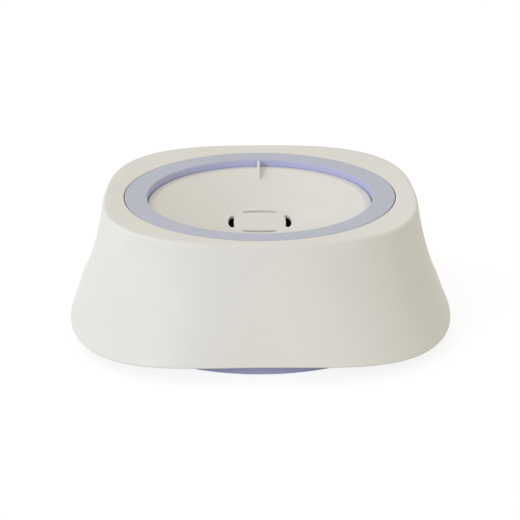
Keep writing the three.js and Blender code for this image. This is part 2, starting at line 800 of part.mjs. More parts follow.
function addHeater() {
  const plateRadius = rebateRadius - plateSealWidth - 2 * seatGap;
  const sealInner = plateRadius + seatGap;
  const filmRadius = deckHoleRadius - filmMargin;
  const disc = (radius, bottom, top) => solidOf(rod(radius, bottom, top, discSteps));
  addPiece("heat_plate", disc(plateRadius, heatPlateBottom, heatPlateTop), "aluminium");
  const sealTop = heatPlateBottom + plateSealHeight;
  const seal = ring(sealInner, sealInner + plateSealWidth, heatPlateBottom, sealTop);
  addPiece("plate_seal", solidOf(seal), "silicone");
  addPiece("heating_film", disc(filmRadius, filmBottom, filmTop), "film");
  addPiece("insulation_pad", makeInsulationPad(), "foam");
  addPiece("heater_retainer", makeHeaterRetainer(), "housing");
  const thermistor = rod(thermistorRadius, insulationTop - thermistorLength, insulationTop, screwSteps);
  addPiece("thermistor", solidOf(thermistor.translate(...thermistorPlace, 0)), "black");
  addPiece("thermal_fuse", makeThermalFuse(), "steel");
  const bottom = retainerBottom - seatGap - smallScrewHeadHeight;
  const length = retainerBossBottom + retainerScrewGrip - retainerBottom + seatGap;
  retainerPlaces.forEach(([x, y], i) => {
    const small = screw(smallScrewRadius, smallScrewHeadRadius, smallScrewHeadHeight, length);
    addPiece(`retainer_screw_${i + 1}`, solidOf(small.translate(x, y, bottom)), "steel");
  });
}

// Control board and socket

const onBoard = ([x, y]) => [(x * boardWidth) / 2, boardMiddle + (y * boardDepth) / 2];
const partBottom = boardTop + seatGap;

function addBoard() {
  const plain = solidOf(block(boardWidth, boardDepth, boardThickness, 0, boardMiddle, boardBottom));
  const hole = boardScrewRadius + screwHoleGap;
  const holes = boardHolePlaces.map((place) => uprightHole(hole, place, boardBottom, boardTop));
  addPiece("control_board", cut(plain, holes), "board");
  const screwTop = boardTop + seatGap + boardScrewHeadHeight;
  boardHolePlaces.forEach(([x, y], i) => {
    const fixing = screw(
      boardScrewRadius,
      boardScrewHeadRadius,
      boardScrewHeadHeight,
      boardScrewLength,
      true,
    );
    addPiece(`board_screw_${i + 1}`, solidOf(fixing.translate(x, y, screwTop)), "steel");
  });
  const boxes = [
    ["control_chip", chipSide, chipSide, chipHeight, chipPlaceShare, "black"],
    ["power_transistor", transistorWidth, transistorDepth, transistorHeight, transistorPlaceShare, "black"],
    ["heater_terminal", terminalWidth, terminalDepth, terminalHeight, heaterTerminalPlaceShare, "terminal"],
    ["sensor_terminal", terminalWidth, terminalDepth, terminalHeight, sensorTerminalPlaceShare, "terminal"],
    ["power_terminal", terminalWidth, terminalDepth, terminalHeight, powerTerminalPlaceShare, "terminal"],
  ];
  for (const [name, width, depth, height, share, finish] of boxes) {
    addPiece(name, solidOf(block(width, depth, height, ...onBoard(share), partBottom)), finish);
  }
  const can = rod(capacitorRadius, partBottom, partBottom + capacitorHeight);
  addPiece("smoothing_capacitor", solidOf(can.translate(...onBoard(capacitorPlaceShare), 0)), "aluminium");
}

// The socket's body ends before the wall, with room for its seal; its nose runs through the wall.
const socketMouth = panRadius;

function makePowerSocket() {
  const bottom = socketMiddle - socketHeight / 2;
  const middle = (socketFront + socketBack) / 2;
  const body = solidOf(block(socketWidth, socketDepth, socketHeight, 0, middle, bottom));
  const boreBottom = socketMouth - socketBoreDepth;
  const nose = solidOf(socketRod(socketNoseRadius, middle, socketMouth));
  const bore = solidOf(socketRod(socketBoreRadius, boreBottom, socketMouth + cutOverrun));
  const pin = solidOf(
    socketRod(socketPinRadius, boreBottom - cutOverrun, socketMouth - socketPinInset, screwSteps),
  );
  return cut(join([body, nose]), [bore]).add(pin);
}

function addSocket() {
  addPiece("power_socket", makePowerSocket(), "black");
  const inner = socketNoseRadius + seatGap;
  const start = socketFront + seatGap;
  const flat = ring(inner, inner + socketSealWidth, start, start + socketSealThickness, smallSteps);
  addPiece(
    "socket_seal",
    solidOf(flat.rotateX(-Math.PI / 2).translate(0, 0, socketMiddle)),
    "silicone",
  );
}

// A lead through its points. Both ends are square to what they meet.
function leadThrough(points) {
  const curve = new THREE.CatmullRomCurve3(points.map((p) => new THREE.Vector3(...p)));
  const section = new THREE.Shape();
  section.absarc(0, 0, leadRadius, 0, 2 * Math.PI);
  const settings = { steps: leadSteps, extrudePath: curve, curveSegments: leadSides };
  return solidOf(new THREE.ExtrudeGeometry(section, { ...settings, bevelEnabled: false }));
}

function addLeads() {
  const terminalMiddle = partBottom + terminalHeight / 2;
  const front = ([x, y]) => [x, y - terminalDepth / 2 - seatGap, terminalMiddle];
  const fall = ([x, y], top, terminal) => {
    const low = top - leadDrop;
    const end = front(onBoard(terminal));
    return leadThrough([
      [x, y, top],
      [x, y, (top + low) / 2],
      [x, y, low],
      [(x + end[0]) / 2, (y + end[1] - leadReach) / 2, mix(low, end[2], leadFallShare)],
      [end[0], end[1] - leadReach, end[2]],
      end,
    ]);
  };
  addPiece("heater_lead", fall(heaterLeadPlace, filmBottom - seatGap, heaterTerminalPlaceShare), "sleeve");
  const sensorTop = insulationTop - thermistorLength - seatGap;
  addPiece("sensor_lead", fall(thermistorPlace, sensorTop, sensorTerminalPlaceShare), "sleeve");
  const [x, y] = onBoard(powerTerminalPlaceShare);
  const start = [0, socketBack - seatGap, socketMiddle];
  const end = [x, y + terminalDepth / 2 + seatGap, terminalMiddle];
  const middle = start.map((value, i) => (value + end[i]) / 2);
  addPiece("socket_lead", leadThrough([start, middle, end]), "sleeve");
}

addPiece("outer_shell", makeOuterShell(), "cream");
addPiece("water_bowl", makeWaterBowl(), "lavender");
addPiece("float_plate", makeFloatPlate(), "cream");
addPiece("float_chamber", makeFloatChamber(), "black");
addPiece("base_pan", makeBasePan(), "lavender");
addPiece("inner_housing", makeInnerHousing(), "housing");
const sealOuter = panRadius - deckSealInset;
const sealInner = panRadius - panWall + deckSealInset;
const sealBottom = panTop + seatGap;
addPiece(
  "deck_seal",
  solidOf(ring(sealInner, sealOuter, sealBottom, sealBottom + deckSealThickness)),
  "silicone",
);
addHeater();
addBoard();
addSocket();
addLeads();
addFeetAndScrews();

export default bowlHeater;
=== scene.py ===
"""A heated pet bowl: the finish and the fine shape of its pieces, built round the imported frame.

Metres, +Z up. The bowl's axis is Z, the front faces -Y and the power socket +Y.
"""

import math

import bmesh
import bpy
from mathutils import Matrix, Vector


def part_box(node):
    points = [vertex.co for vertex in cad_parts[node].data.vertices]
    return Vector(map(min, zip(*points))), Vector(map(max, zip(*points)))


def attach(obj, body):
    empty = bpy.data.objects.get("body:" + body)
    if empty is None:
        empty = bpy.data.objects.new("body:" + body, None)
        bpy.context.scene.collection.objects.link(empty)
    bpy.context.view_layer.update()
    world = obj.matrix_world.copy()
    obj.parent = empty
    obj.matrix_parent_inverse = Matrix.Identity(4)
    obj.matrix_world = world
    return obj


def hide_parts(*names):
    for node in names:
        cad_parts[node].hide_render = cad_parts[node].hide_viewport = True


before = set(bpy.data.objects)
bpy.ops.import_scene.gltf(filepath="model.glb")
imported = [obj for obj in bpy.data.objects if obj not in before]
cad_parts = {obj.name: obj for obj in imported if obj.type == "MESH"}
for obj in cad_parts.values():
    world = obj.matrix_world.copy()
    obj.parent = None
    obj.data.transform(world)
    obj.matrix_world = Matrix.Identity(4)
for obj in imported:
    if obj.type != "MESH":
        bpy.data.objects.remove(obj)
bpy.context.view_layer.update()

X, Y, Z = range(3)


def lowest(node, axis=Z):
    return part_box(node)[0][axis]


def highest(node, axis=Z):
    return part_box(node)[1][axis]


# Camera, from the photograph
FRAME_PIXELS = 520
FOCAL_PIXELS = 1183.1
RIM_MIDDLE_PIXEL = (259.90, 192.04)
CAMERA_DISTANCE = 0.78029
CAMERA_ELEVATION = math.radians(22.081)
CAMERA_TURN = math.radians(-0.722)
CAMERA_ROLL = math.radians(-0.094)
SENSOR_WIDTH = 36  # millimetres

# Light and floor
ROOM_COLOUR = (1.0, 0.95, 0.845, 1)
ROOM_STRENGTH = 0.7
WHITE = (1, 1, 1, 1)
LIT_POINT = (0, 0, 0.04)
LAMPS = (  # name, place, size, power, colour
    ("key", (-1.14, -1.31, 0.77), 0.5, 11.7, (0.71, 0.79, 1.0)),
    ("back light", (-1.26, 0.73, 1.22), 0.6, 5.8, (0.81, 0.9, 1.0)),
)
FLOOR_HALF_WIDTH = 3
FLOOR_LIT = (0.8, 0.8, 0.8, 1)
FLOOR_SHADOWED = (0.2, 0.2, 0.2, 1)
FLOOR_GLOW = 0.86

# Steps
ROUND_STEPS = 256
SMALL_STEPS = 64
FILLET_STEPS = 6
SKIRT_STEPS = 22
DISH_STEPS = 28
OUTLET_STEPS = 64
OPENING_STEPS = 28
CORNER_COUNT = 4
BLOCK_EDGE_STEPS = 3
FIN_EDGE_STEPS = 4

# Shared
SEAT_GAP = 0.0003
SMOOTH_ANGLE = math.radians(32)
SUPPORT_SHARE = 0.3  # of the room beside a fillet, up to SUPPORT_LENGTH
SUPPORT_LENGTH = 0.0004
MERGE_DISTANCE = 1e-7

# Outer shell
RIM_TOP = highest("water_bowl")
RIM_RADIUS = highest("water_bowl", X)
RIM_GAP = 0.0006
WELL_RADIUS = RIM_RADIUS + RIM_GAP
TOP_FACE_WIDTH = 0.0122
SKIRT_FLARE = 0.02345
CREST_HALF_WIDTH = WELL_RADIUS + TOP_FACE_WIDTH
LIP_HALF_WIDTH = CREST_HALF_WIDTH + SKIRT_FLARE
LIP_HEIGHT = 0.0072
LIP_ARCH = 0.0029
LIP_ARCH_SHARE = 0.89
LIP_ROUND = 0.0008
CREST_HEIGHT = RIM_TOP + 0.0027
CREST_ROUND = 0.0022
OPENING_EDGE_ROUND = 0.0006
SHELL_WALL = 0.0026
LEDGE_THICKNESS = 0.0024
LEDGE_ROUND = 0.0005
LIP_SQUARENESS = 3.03
CREST_SQUARENESS = 2.78
FLARE_SHARE = 0.57
SHOULDER_SHARE = 0.0084
CREST_ROOM_SHARE = 0.06  # the skirt's last row stays this far below the crest
OUTLET_WIDTH = 0.016
OUTLET_HEIGHT = 0.0146
OUTLET_ZONE = 1.3  # of the outlet's half angle; the shell's steps are finer within it
OUTLET_ZONE_ROOM = 1.1  # of that zone; the even steps start past it
OUTLET_ROUND = 0.004
CUP_RADIUS = 0.0795
BOSS_CIRCLE = 0.098
BOSS_RADIUS = 0.0045
FLANGE_TOP = 0.0186
BOSS_BOTTOM = FLANGE_TOP + SEAT_GAP

# Water bowl
BOWL_BOTTOM = lowest("water_bowl")
RIM_THICKNESS = 0.0026
RIM_FALL = 0.00085
RIM_OUTER_ROUND = 0.0005
RIM_INNER_ROUND = 0.0008
BOWL_RADIUS = 0.0742
BOWL_WALL = 0.002
BOWL_FLOOR_THICKNESS = 0.0022
BOWL_FLOOR_ROUND = 0.012
BOWL_FLOOR = BOWL_BOTTOM + BOWL_FLOOR_THICKNESS
RIM_ROOT_ROUND = 0.0012

# Float plate
FLOAT_RADIUS = highest("float_plate", X)
FLOAT_TOP = RIM_TOP - 0.00565
DISH_DEPTH = 0.01465
DISH_RADIUS = FLOAT_RADIUS - 0.0047
DISH_POWER = 1.2
DISH_EDGE_ROUND = 0.0016
PLATE_THICKNESS = 0.0026
FLOAT_SKIRT_HEIGHT = 0.0085
FLOAT_SKIRT_WALL = 0.0022
FLOAT_EDGE_ROUND = 0.0008
FLOAT_RIM_ROUND = 0.0003
PAD_TOP = FLOAT_TOP - DISH_DEPTH
PAD_HALF_WIDTH = 0.0173
PAD_EDGE_RADIUS = 0.09
OPENING_RADIUS = PAD_HALF_WIDTH + 0.00375
OPENING_HALF_ANGLE = math.radians(32.5)
OPENING_SQUARENESS = 2.5
OPENING_CORNER_ROUND = 0.0013
OPENING_EDGE = 0.00035
PAD_FLAT_RADIUS = OPENING_RADIUS + 0.0022
FIN_THICKNESS = 0.0018
FIN_INNER_RADIUS = DISH_RADIUS - 0.0123
FIN_OUTER_RADIUS = BOWL_RADIUS - 0.0019
FIN_TOP = RIM_TOP - 0.00095
FIN_TOP_LENGTH = 0.0022
FIN_ROOT_DEPTH = 0.0012
FIN_SHOULDER_SHARE = 0.35
FIN_EDGE_ROUND = 0.0005
FIN_STEPS = 14

# Float chamber
CHAMBER_BOTTOM = lowest("float_chamber")
CHAMBER_RADIUS = highest("float_chamber", X)
CHAMBER_WALL = 0.0018
CHAMBER_ROUND = 0.009
TUBE_RADIUS = OPENING_RADIUS + 0.00235
TUBE_ROUND = 0.002

# Base pan
PAN_RADIUS = highest("base_pan", X)
PAN_BOTTOM = lowest("base_pan")
PAN_TOP = 0.015
PAN_WALL = 0.0018
PAN_FLOOR = 0.0018
PAN_EDGE_ROUND = 0.0012
PAN_INNER_ROUND = 0.001
PAN_FLOOR_TOP = PAN_BOTTOM + PAN_FLOOR
CUTTER_OVERRUN = 0.001

# Feet and screws
FOOT_RADIUS = 0.008
FOOT_CEILING = highest("rubber_foot_1") + SEAT_GAP
FOOT_TAPER = 0.0005
FOOT_EDGE_ROUND = 0.0004
FOOT_GROOVES = 3
FOOT_GROOVE_DEPTH = 0.00015
FOOT_CUP_RADIUS = 0.0098
SCREW_HOLE_GAP = 0.00025
SHELL_SCREW_RADIUS = 0.0015
SHELL_SCREW_HEAD_RADIUS = 0.0029
SHELL_SCREW_HEAD_HEIGHT = 0.0016
SHELL_SCREW_THREAD = 0.011
RETAINER_THREAD_SHARE = 0.75
BOARD_THREAD_SHARE = 0.8
HEAD_BOTTOM = lowest("shell_screw_1")
HEAD_SEAT = HEAD_BOTTOM + SHELL_SCREW_HEAD_HEIGHT + SEAT_GAP
FOOT_SHELF = 0.0018
FLANGE_BOTTOM = 0.0166
THREAD_PITCH_SHARE = 0.62  # of the screw's radius
THREAD_DEPTH_SHARE = 0.2
THREAD_ROWS = 6  # of each turn
THREAD_STEPS = 24
RECESS_WIDTH_SHARE = 0.24  # of the head's radius
RECESS_REACH_SHARE = 0.62
RECESS_DEPTH_SHARE = 0.5

# Inner housing and heater
CUP_WALL = 0.002
CUP_FLOOR_ROUND = 0.003
CUP_LIP_ROUND = 0.0006
DECK_TOP = 0.0243
DECK_THICKNESS = 0.002
DECK_HOLE_RADIUS = 0.044
REBATE_RADIUS = 0.053
REBATE_FLOOR = 0.0228
RETAINER_SCREW_CIRCLE = 0.058
RETAINER_BOSS_RADIUS = 0.0035
RETAINER_SCREW_RADIUS = 0.00125
RETAINER_SCREW_HEAD_RADIUS = 0.0023
RETAINER_SCREW_HEAD_HEIGHT = 0.0015
RETAINER_RADIUS = DECK_HOLE_RADIUS + 0.002
RETAINER_EAR_RADIUS = 0.0045
RETAINER_TOP = highest("heater_retainer")
LEAD_HOLE_RADIUS = 0.0017
LEAD_RADIUS = 0.0012
PLATE_EDGE_ROUND = 0.0004
SEAL_ROUND = 0.0004
FILM_EDGE_ROUND = 0.0001
POCKET_GAP = 0.0005
THERMISTOR_RADIUS = 0.0016
SENSOR_PLACE = Vector((0.42, 0.22, 0)) * DECK_HOLE_RADIUS
HEATER_LEAD_PLACE = Vector((-0.14, 0.68, 0)) * DECK_HOLE_RADIUS
FUSE_RADIUS = 0.002
FUSE_WIRE_RADIUS = 0.0005
FUSE_WIRE_LENGTH = 0.0016

# Leads
PATH_STEPS = 12
LEAD_SIDES = 20
LEAD_DROP = 0.009
LEAD_REACH = 0.004
LEAD_FALL_SHARE = 0.7
TERMINAL_LEVEL = 0.0112

# Control board
BOARD_LOW, BOARD_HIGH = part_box("control_board")
BOARD_TOP = BOARD_HIGH[Z]
BOARD_HOLE_INSET = 0.0034
BOARD_SCREW_RADIUS = 0.0011
BOARD_SCREW_HEAD_RADIUS = 0.0021
BOARD_SCREW_HEAD_HEIGHT = 0.0013
BOARD_POST_RADIUS = 0.003
BOARD_CORNER_ROUND = 0.0012
CHIP_LEG_PAIRS = 8
CHIP_LEG_PITCH = 0.0008
CHIP_LEG_WIDTH = 0.00035
TRANSISTOR_TAB_DEPTH = 0.0028
TRANSISTOR_LEG_LENGTH = 0.0016
TRANSISTOR_LEGS = 3
TRANSISTOR_LEG_SHARE = 0.1
TERMINAL_NODES = ("heater_terminal", "sensor_terminal", "power_terminal")
TERMINAL_WAYS = 2
PAD_HEIGHT = 0.00008
SLOT_SHARE = 1.5  # of the pad's height

# Power socket
SOCKET_MIDDLE = 0.0084
SOCKET_FRONT = 0.1104
SOCKET_NOSE_RADIUS = 0.004
SOCKET_HOLE_GAP = 0.0003
SOCKET_BORE_RADIUS = 0.0029
SOCKET_BORE_DEPTH = 0.0095
SOCKET_PIN_RADIUS = 0.001
SOCKET_PIN_INSET = 0.0015
SOCKET_EDGE_ROUND = 0.0007

# Screw heads and electronics, as shares of the piece's own size
HEAD_CROWN_SHARE = 0.55  # of a screw head's height
HEAD_EDGE_SHARE = 0.12
SENSOR_EDGE_SHARE = 0.45
CRIMP_SHARE = 0.82
CRIMP_REACH = (0.8, 0.72, 0.9)  # of half the can: where the near crimp ends, the can starts and ends
LEG_BENDS = (0.3, 0.5, 0.42, 0.22)  # of a leg's length: outer bends, then inner ones
LEG_LEVEL_SHARE = 0.55
WELL_SHARE = 0.34  # of a terminal's way
ENTRY_SHARE = 0.3
CLAMP_SHARE = 0.88  # of the well's radius
CLAMP_DEPTH_SHARE = 0.35
SLOT_DEPTH_SHARE = 0.7
CAN_GROOVE_SHARE = 0.07  # of the can's radius
CAN_TOP_SHARES = (0.82, 0.8)
CAN_CROSS_SHARE = 0.6


def srgb(red, green, blue):
    """A colour as it is seen, 0 to 255, turned into the linear one that a shader takes."""

    def linear(value):
        value = value / 255
        return value / 12.92 if value <= 0.04045 else ((value + 0.055) / 1.055) ** 2.4

    return (linear(red), linear(green), linear(blue), 1.0)


def mix(start, end, share):
    return start + (end - start) * share


# Outlines and meshes


def round_corner(before, here, after, radius):
    """A corner of an outline turned into an arc, with a point on each side that keeps the flats flat."""
    to_before, to_after = before - here, after - here
    room = min(to_before.length, to_after.length) / 2
    to_before.normalize()
    to_after.normalize()
    half = math.acos(max(-1, min(1, to_before.dot(to_after)))) / 2
    reach = min(radius / math.tan(half), room)
    centre = here + (to_before + to_after).normalized() * (reach / math.cos(half))
    support = min(SUPPORT_LENGTH, SUPPORT_SHARE * (room - reach))
    start = here + to_before * reach - centre
    end = here + to_after * reach - centre
    turn = math.atan2(start.x * end.y - start.y * end.x, start.dot(end))
    points = [here + to_before * (reach + support)]
    for i in range(FILLET_STEPS + 1):
        points.append(centre + Matrix.Rotation(turn * i / FILLET_STEPS, 2) @ start)
    points.append(here + to_after * (reach + support))
    return points


def outline(corners):
    """Points of an outline. Its corners are (radius, height) or (radius, height, round)."""
    points = []
    for i, corner in enumerate(corners):
        here = Vector(corner[:2])
        if len(corner) == 2:
            points.append(here)
            continue
        before = Vector(corners[i - 1][:2])
        after = Vector(corners[(i + 1) % len(corners)][:2])
        points += round_corner(before, here, after, corner[2])
    return points


def smooth(mesh):
    mesh.shade_smooth()
    mesh.set_sharp_from_angle(angle=SMOOTH_ANGLE)


def piece_from(name, bm):
    """The object that a bmesh is made into, its faces outwards and its smooth stretches smooth."""
    bmesh.ops.remove_doubles(bm, verts=bm.verts, dist=MERGE_DISTANCE)
    bmesh.ops.recalc_face_normals(bm, faces=bm.faces)
    mesh = bpy.data.meshes.new(name)
    bm.to_mesh(mesh)
    bm.free()
    smooth(mesh)
    piece = bpy.data.objects.new(name, mesh)
    bpy.context.scene.collection.objects.link(piece)
    return piece


def refill(piece, bm):
    """Puts a bmesh into a piece's own mesh."""
    bm.to_mesh(piece.data)
    bm.free()
    smooth(piece.data)
    return piece


def plain_mesh(piece):
    """Turns what a piece's modifiers make into its own mesh."""
    graph = bpy.context.evaluated_depsgraph_get()
    mesh = bpy.data.meshes.new_from_object(piece.evaluated_get(graph))
    piece.modifiers.clear()
    piece.data = mesh
    smooth(mesh)


def add_rings(bm, rings, closed=True):
    """Faces between rings of equal counts, each ring closed on itself, and the last to the first."""
    rows = [[bm.verts.new(point) for point in ring] for ring in rings]
    count = len(rows[0])
    pairs = list(zip(rows, rows[1:]))
    if closed:
        pairs.append((rows[-1], rows[0]))
    for one, two in pairs:
        for i in range(count):
            j = (i + 1) % count
            bm.faces.new((one[i], one[j], two[j], two[i]))
    return rows


def add_slab(bm, sides):
    """A wall between two loops of points, and a cap on each."""
    one, two = [[bm.verts.new(point) for point in side] for side in sides]
    for i in range(len(one)):
        bm.faces.new((one[i - 1], one[i], two[i], two[i - 1]))
    for side in (one, two):
        bm.faces.new(side)


def even_angles(steps):
    return [2 * math.pi * i / steps for i in range(steps)]


def turned_rings(points, steps):
    turns = [(math.cos(a), math.sin(a)) for a in even_angles(steps)]
    return [[(p.x * c, p.x * s, p.y) for c, s in turns] for p in points]


def turned(name, corners, steps=ROUND_STEPS):
    """A piece turned round Z. Its outline starts and ends on the axis or closes on itself."""
    bm = bmesh.new()
    add_rings(bm, turned_rings(outline(corners), steps), closed=corners[0][0] > 0)
    return piece_from(name, bm)


def combine(piece, others, operation):
    """Joins other solids to a piece, UNION, or cuts them out of it, DIFFERENCE."""
    for other in others:
        boolean = piece.modifiers.new(other.name, "BOOLEAN")
        boolean.object = other
        boolean.operation = operation
        boolean.solver = "EXACT"
    plain_mesh(piece)
    for other in others:
        bpy.data.objects.remove(other)
    return piece


def weld(piece, *others):
    return combine(piece, others, "UNION")


def cut(piece, *others):
    return combine(piece, others, "DIFFERENCE")


def corner_places(circle):
    """The four places over the skirt's corners, on a circle."""
    angles = [math.pi * (2 * i + 1) / CORNER_COUNT for i in range(CORNER_COUNT)]
    return [Vector((circle * math.cos(a), circle * math.sin(a), 0)) for a in angles]


def rod(name, radius, bottom, top, place=Vector(), steps=SMALL_STEPS, edge=0.0):
    corners = [(0, bottom), (radius, bottom), (radius, top), (0, top)]
    if edge:
        corners[1] += (edge,)
        corners[2] += (edge,)
    piece = turned(name, corners, steps)
    piece.data.transform(Matrix.Translation(place))
    return piece


def ring(name, inner, outer, bottom, top, edge, steps=ROUND_STEPS):
    """A flat ring with rounded edges."""
    corners = [(inner, bottom), (outer, bottom), (outer, top), (inner, top)]
    return turned(name, [(*corner, edge) for corner in corners], steps)


def drill(radius, bottom, top, place=Vector()):
    """A rod that cuts a hole right through, from a bottom to a top."""
    return rod("drill", radius, bottom - CUTTER_OVERRUN, top + CUTTER_OVERRUN, place)


def round_edges(bm, edges, size, segments):
    bmesh.ops.bevel(bm, geom=edges, offset=size, segments=segments, profile=0.5, affect="EDGES")


def block(name, low, high, edge=0.0):
    """A block between two corners, its edges rounded."""
    low, high = Vector(low), Vector(high)
    bm = bmesh.new()
    bmesh.ops.create_cube(bm, size=1)
    size = high - low
    for vert in bm.verts:
        vert.co = (low + high) / 2 + Vector(c * s for c, s in zip(vert.co, size))
    if edge:
        round_edges(bm, bm.edges[:], edge, BLOCK_EDGE_STEPS)
    return piece_from(name, bm)


def cross(reach, half, low, high):
    """Two bars that cross on the axis, to cut a recess with."""
    return [block("bar", (-x, -y, low), (x, y, high)) for x, y in ((reach, half), (half, reach))]


def copied(piece, moves):
    """A piece repeated by each move, a place or a matrix, as one object."""
    bm = bmesh.new()
    for move in moves:
        matrix = move if isinstance(move, Matrix) else Matrix.Translation(move)
        start = len(bm.verts)
        bm.from_mesh(piece.data)
        bm.verts.ensure_lookup_table()
        bmesh.ops.transform(bm, matrix=matrix, verts=bm.verts[start:])
    return refill(piece, bm)


def joined(piece, other):
    """Puts another piece, which doesn't cut into it, into a piece's own mesh."""
    bm = bmesh.new()
    bm.from_mesh(piece.data)
    bm.from_mesh(other.data)
    bpy.data.objects.remove(other)
    return refill(piece, bm)


def laid_back(piece, height=SOCKET_MIDDLE):
    """Lays an upright piece down along Y at a height."""
    turn = Matrix.Translation((0, 0, height)) @ Matrix.Rotation(-math.pi / 2, 4, "X")
    piece.data.transform(turn)
    return piece


# Nodes, for repeats and for materials


def set_inputs(tree, node, values):
    """Sets a node's inputs. A value that is another node's output is linked."""
    for socket, value in values.items():
        if isinstance(value, bpy.types.NodeSocket):
            tree.links.new(value, node.inputs[socket])
        else:
            node.inputs[socket].default_value = value


def add_node(tree, kind, output, values=None, **settings):
    """Adds a node with its settings and inputs, and gives back one of its outputs."""
    node = tree.nodes.new(kind)
    for setting, value in settings.items():
        setattr(node, setting, value)
    set_inputs(tree, node, values or {})
    return node.outputs[output]


def pattern_tree(name, kind, sizes, turn=0.0):
    """A Geometry Nodes tree that puts an item on each point of a circle or grid, round a middle.

    sizes gives each of the pattern's own inputs its kind and the socket that it sets.
    """
    tree = bpy.data.node_groups.new(name, "GeometryNodeTree")
    kinds = {"Item": "Object", "Finish": "Material", "Middle": "Vector"}
    kinds.update({label: value for label, (value, _) in sizes.items()})
    for label, value in kinds.items():
        tree.interface.new_socket(label, in_out="INPUT", socket_type="NodeSocket" + value)
    tree.interface.new_socket("Geometry", in_out="OUTPUT", socket_type="NodeSocketGeometry")
    given = tree.nodes.new("NodeGroupInput").outputs

    def step(node, output, **inputs):
        return add_node(tree, "GeometryNode" + node, output, inputs)

    pattern = step(kind, "Mesh", **{socket: given[label] for label, (_, socket) in sizes.items()})
    points = step("Transform", "Geometry", Geometry=pattern, Rotation=(0, 0, turn))
    item = step("ObjectInfo", "Geometry", Object=given["Item"])
    placed = step("InstanceOnPoints", "Instances", Points=points, Instance=item)
    moved = step("Transform", "Geometry", Geometry=placed, Translation=given["Middle"])
    real = step("RealizeInstances", "Geometry", Geometry=moved)
    finished = step("SetMaterial", "Geometry", Geometry=real, Material=given["Finish"])
    set_inputs(tree, tree.nodes.new("NodeGroupOutput"), {"Geometry": finished})
    return tree


circle_pattern = pattern_tree(
    "on a circle",
    "MeshCircle",
    {"Count": ("Int", "Vertices"), "Radius": ("Float", "Radius")},
    turn=math.pi / CORNER_COUNT,
)
grid_pattern = pattern_tree(
    "on a grid",
    "MeshGrid",
    {
        "Columns": ("Int", "Vertices X"),
        "Rows": ("Int", "Vertices Y"),
        "Width": ("Float", "Size X"),
        "Depth": ("Float", "Size Y"),
    },
)


def repeated(name, tree, item, finish, middle, **sizes):
    """An item repeated in a tree's pattern, as a plain mesh. The item itself goes."""
    values = {"Item": item, "Finish": finish, "Middle": middle, **sizes}
    piece = bpy.data.objects.new(name, bpy.data.meshes.new(name))
    bpy.context.scene.collection.objects.link(piece)
    modifier = piece.modifiers.new(name, "NODES")
    modifier.node_group = tree
    for socket in tree.interface.items_tree:
        if socket.name in values:
            modifier[socket.identifier] = values[socket.name]
    plain_mesh(piece)
    bpy.data.objects.remove(item)
    return piece


def in_a_row(name, item, finish, middle, count, width):
    sizes = {"Columns": count, "Rows": 1, "Width": width, "Depth": 0.0}
    return repeated(name, grid_pattern, item, finish, middle, **sizes)


# Outer shell


def squircle(half_width, squareness, angle):
    c = abs(math.cos(angle)) ** squareness
    s = abs(math.sin(angle)) ** squareness
    return half_width * (c + s) ** (-1 / squareness)


def lip_height(angle):
    """The lip arches between its corners, and higher still over the cord outlet at the back."""
    arch = math.cos(2 * angle) ** 2
    arched = LIP_HEIGHT + LIP_ARCH * arch * (1 + LIP_ARCH_SHARE * (1 - arch))
    across = abs(LIP_HALF_WIDTH * math.cos(angle))
    if math.sin(angle) < 0 or across >= OUTLET_WIDTH / 2:
        return arched
    past = max(0, across - (OUTLET_WIDTH / 2 - OUTLET_ROUND))
    outlet = OUTLET_HEIGHT - OUTLET_ROUND + math.sqrt(OUTLET_ROUND**2 - past**2)
    return max(arched, outlet)


def skirt_point(angle, share, inset=0.0):
    """A point of the skirt's section: share 0 is the crest and 1 the lip."""
    height = mix(CREST_HEIGHT, lip_height(angle), share)
    depth = (CREST_HEIGHT - height) / (CREST_HEIGHT - LIP_HEIGHT)
    flare = depth - FLARE_SHARE * (depth - depth**2)
    half_width = mix(CREST_HALF_WIDTH, LIP_HALF_WIDTH, flare)
    squareness = mix(CREST_SQUARENESS, LIP_SQUARENESS, depth)
    shoulder = 1 + SHOULDER_SHARE * depth * math.sin(4 * angle) ** 2
    return (squircle(half_width, squareness, angle) * shoulder - inset, height)


def top_face_height(angle, radius):
    crest = skirt_point(angle, 0)[0]
    return mix(RIM_TOP, CREST_HEIGHT, (radius - WELL_RADIUS) / (crest - WELL_RADIUS))


def shell_section(angle):
    crest = skirt_point(angle, 0)[0]
    inside_crest = crest - SHELL_WALL
    outside_well = WELL_RADIUS + SHELL_WALL
    ledge_top = RIM_TOP - RIM_THICKNESS - SEAT_GAP
    ledge_bottom = ledge_top - LEDGE_THICKNESS
    shares = [mix(1, CREST_ROOM_SHARE, i / SKIRT_STEPS) for i in range(1, SKIRT_STEPS + 1)]
    return outline(
        [
            (*skirt_point(angle, 1), LIP_ROUND), *[skirt_point(angle, share) for share in shares],
            (crest, CREST_HEIGHT, CREST_ROUND), (WELL_RADIUS, RIM_TOP, OPENING_EDGE_ROUND),
            (WELL_RADIUS, ledge_top), (CUP_RADIUS, ledge_top, LEDGE_ROUND),
            (CUP_RADIUS, ledge_bottom, LEDGE_ROUND), (outside_well, ledge_bottom),
            (outside_well, top_face_height(angle, outside_well) - SHELL_WALL),
            (inside_crest, top_face_height(angle, inside_crest) - SHELL_WALL),
            *[skirt_point(angle, share, SHELL_WALL) for share in reversed(shares)],
            (*skirt_point(angle, 1, SHELL_WALL), LIP_ROUND),
        ]
    )


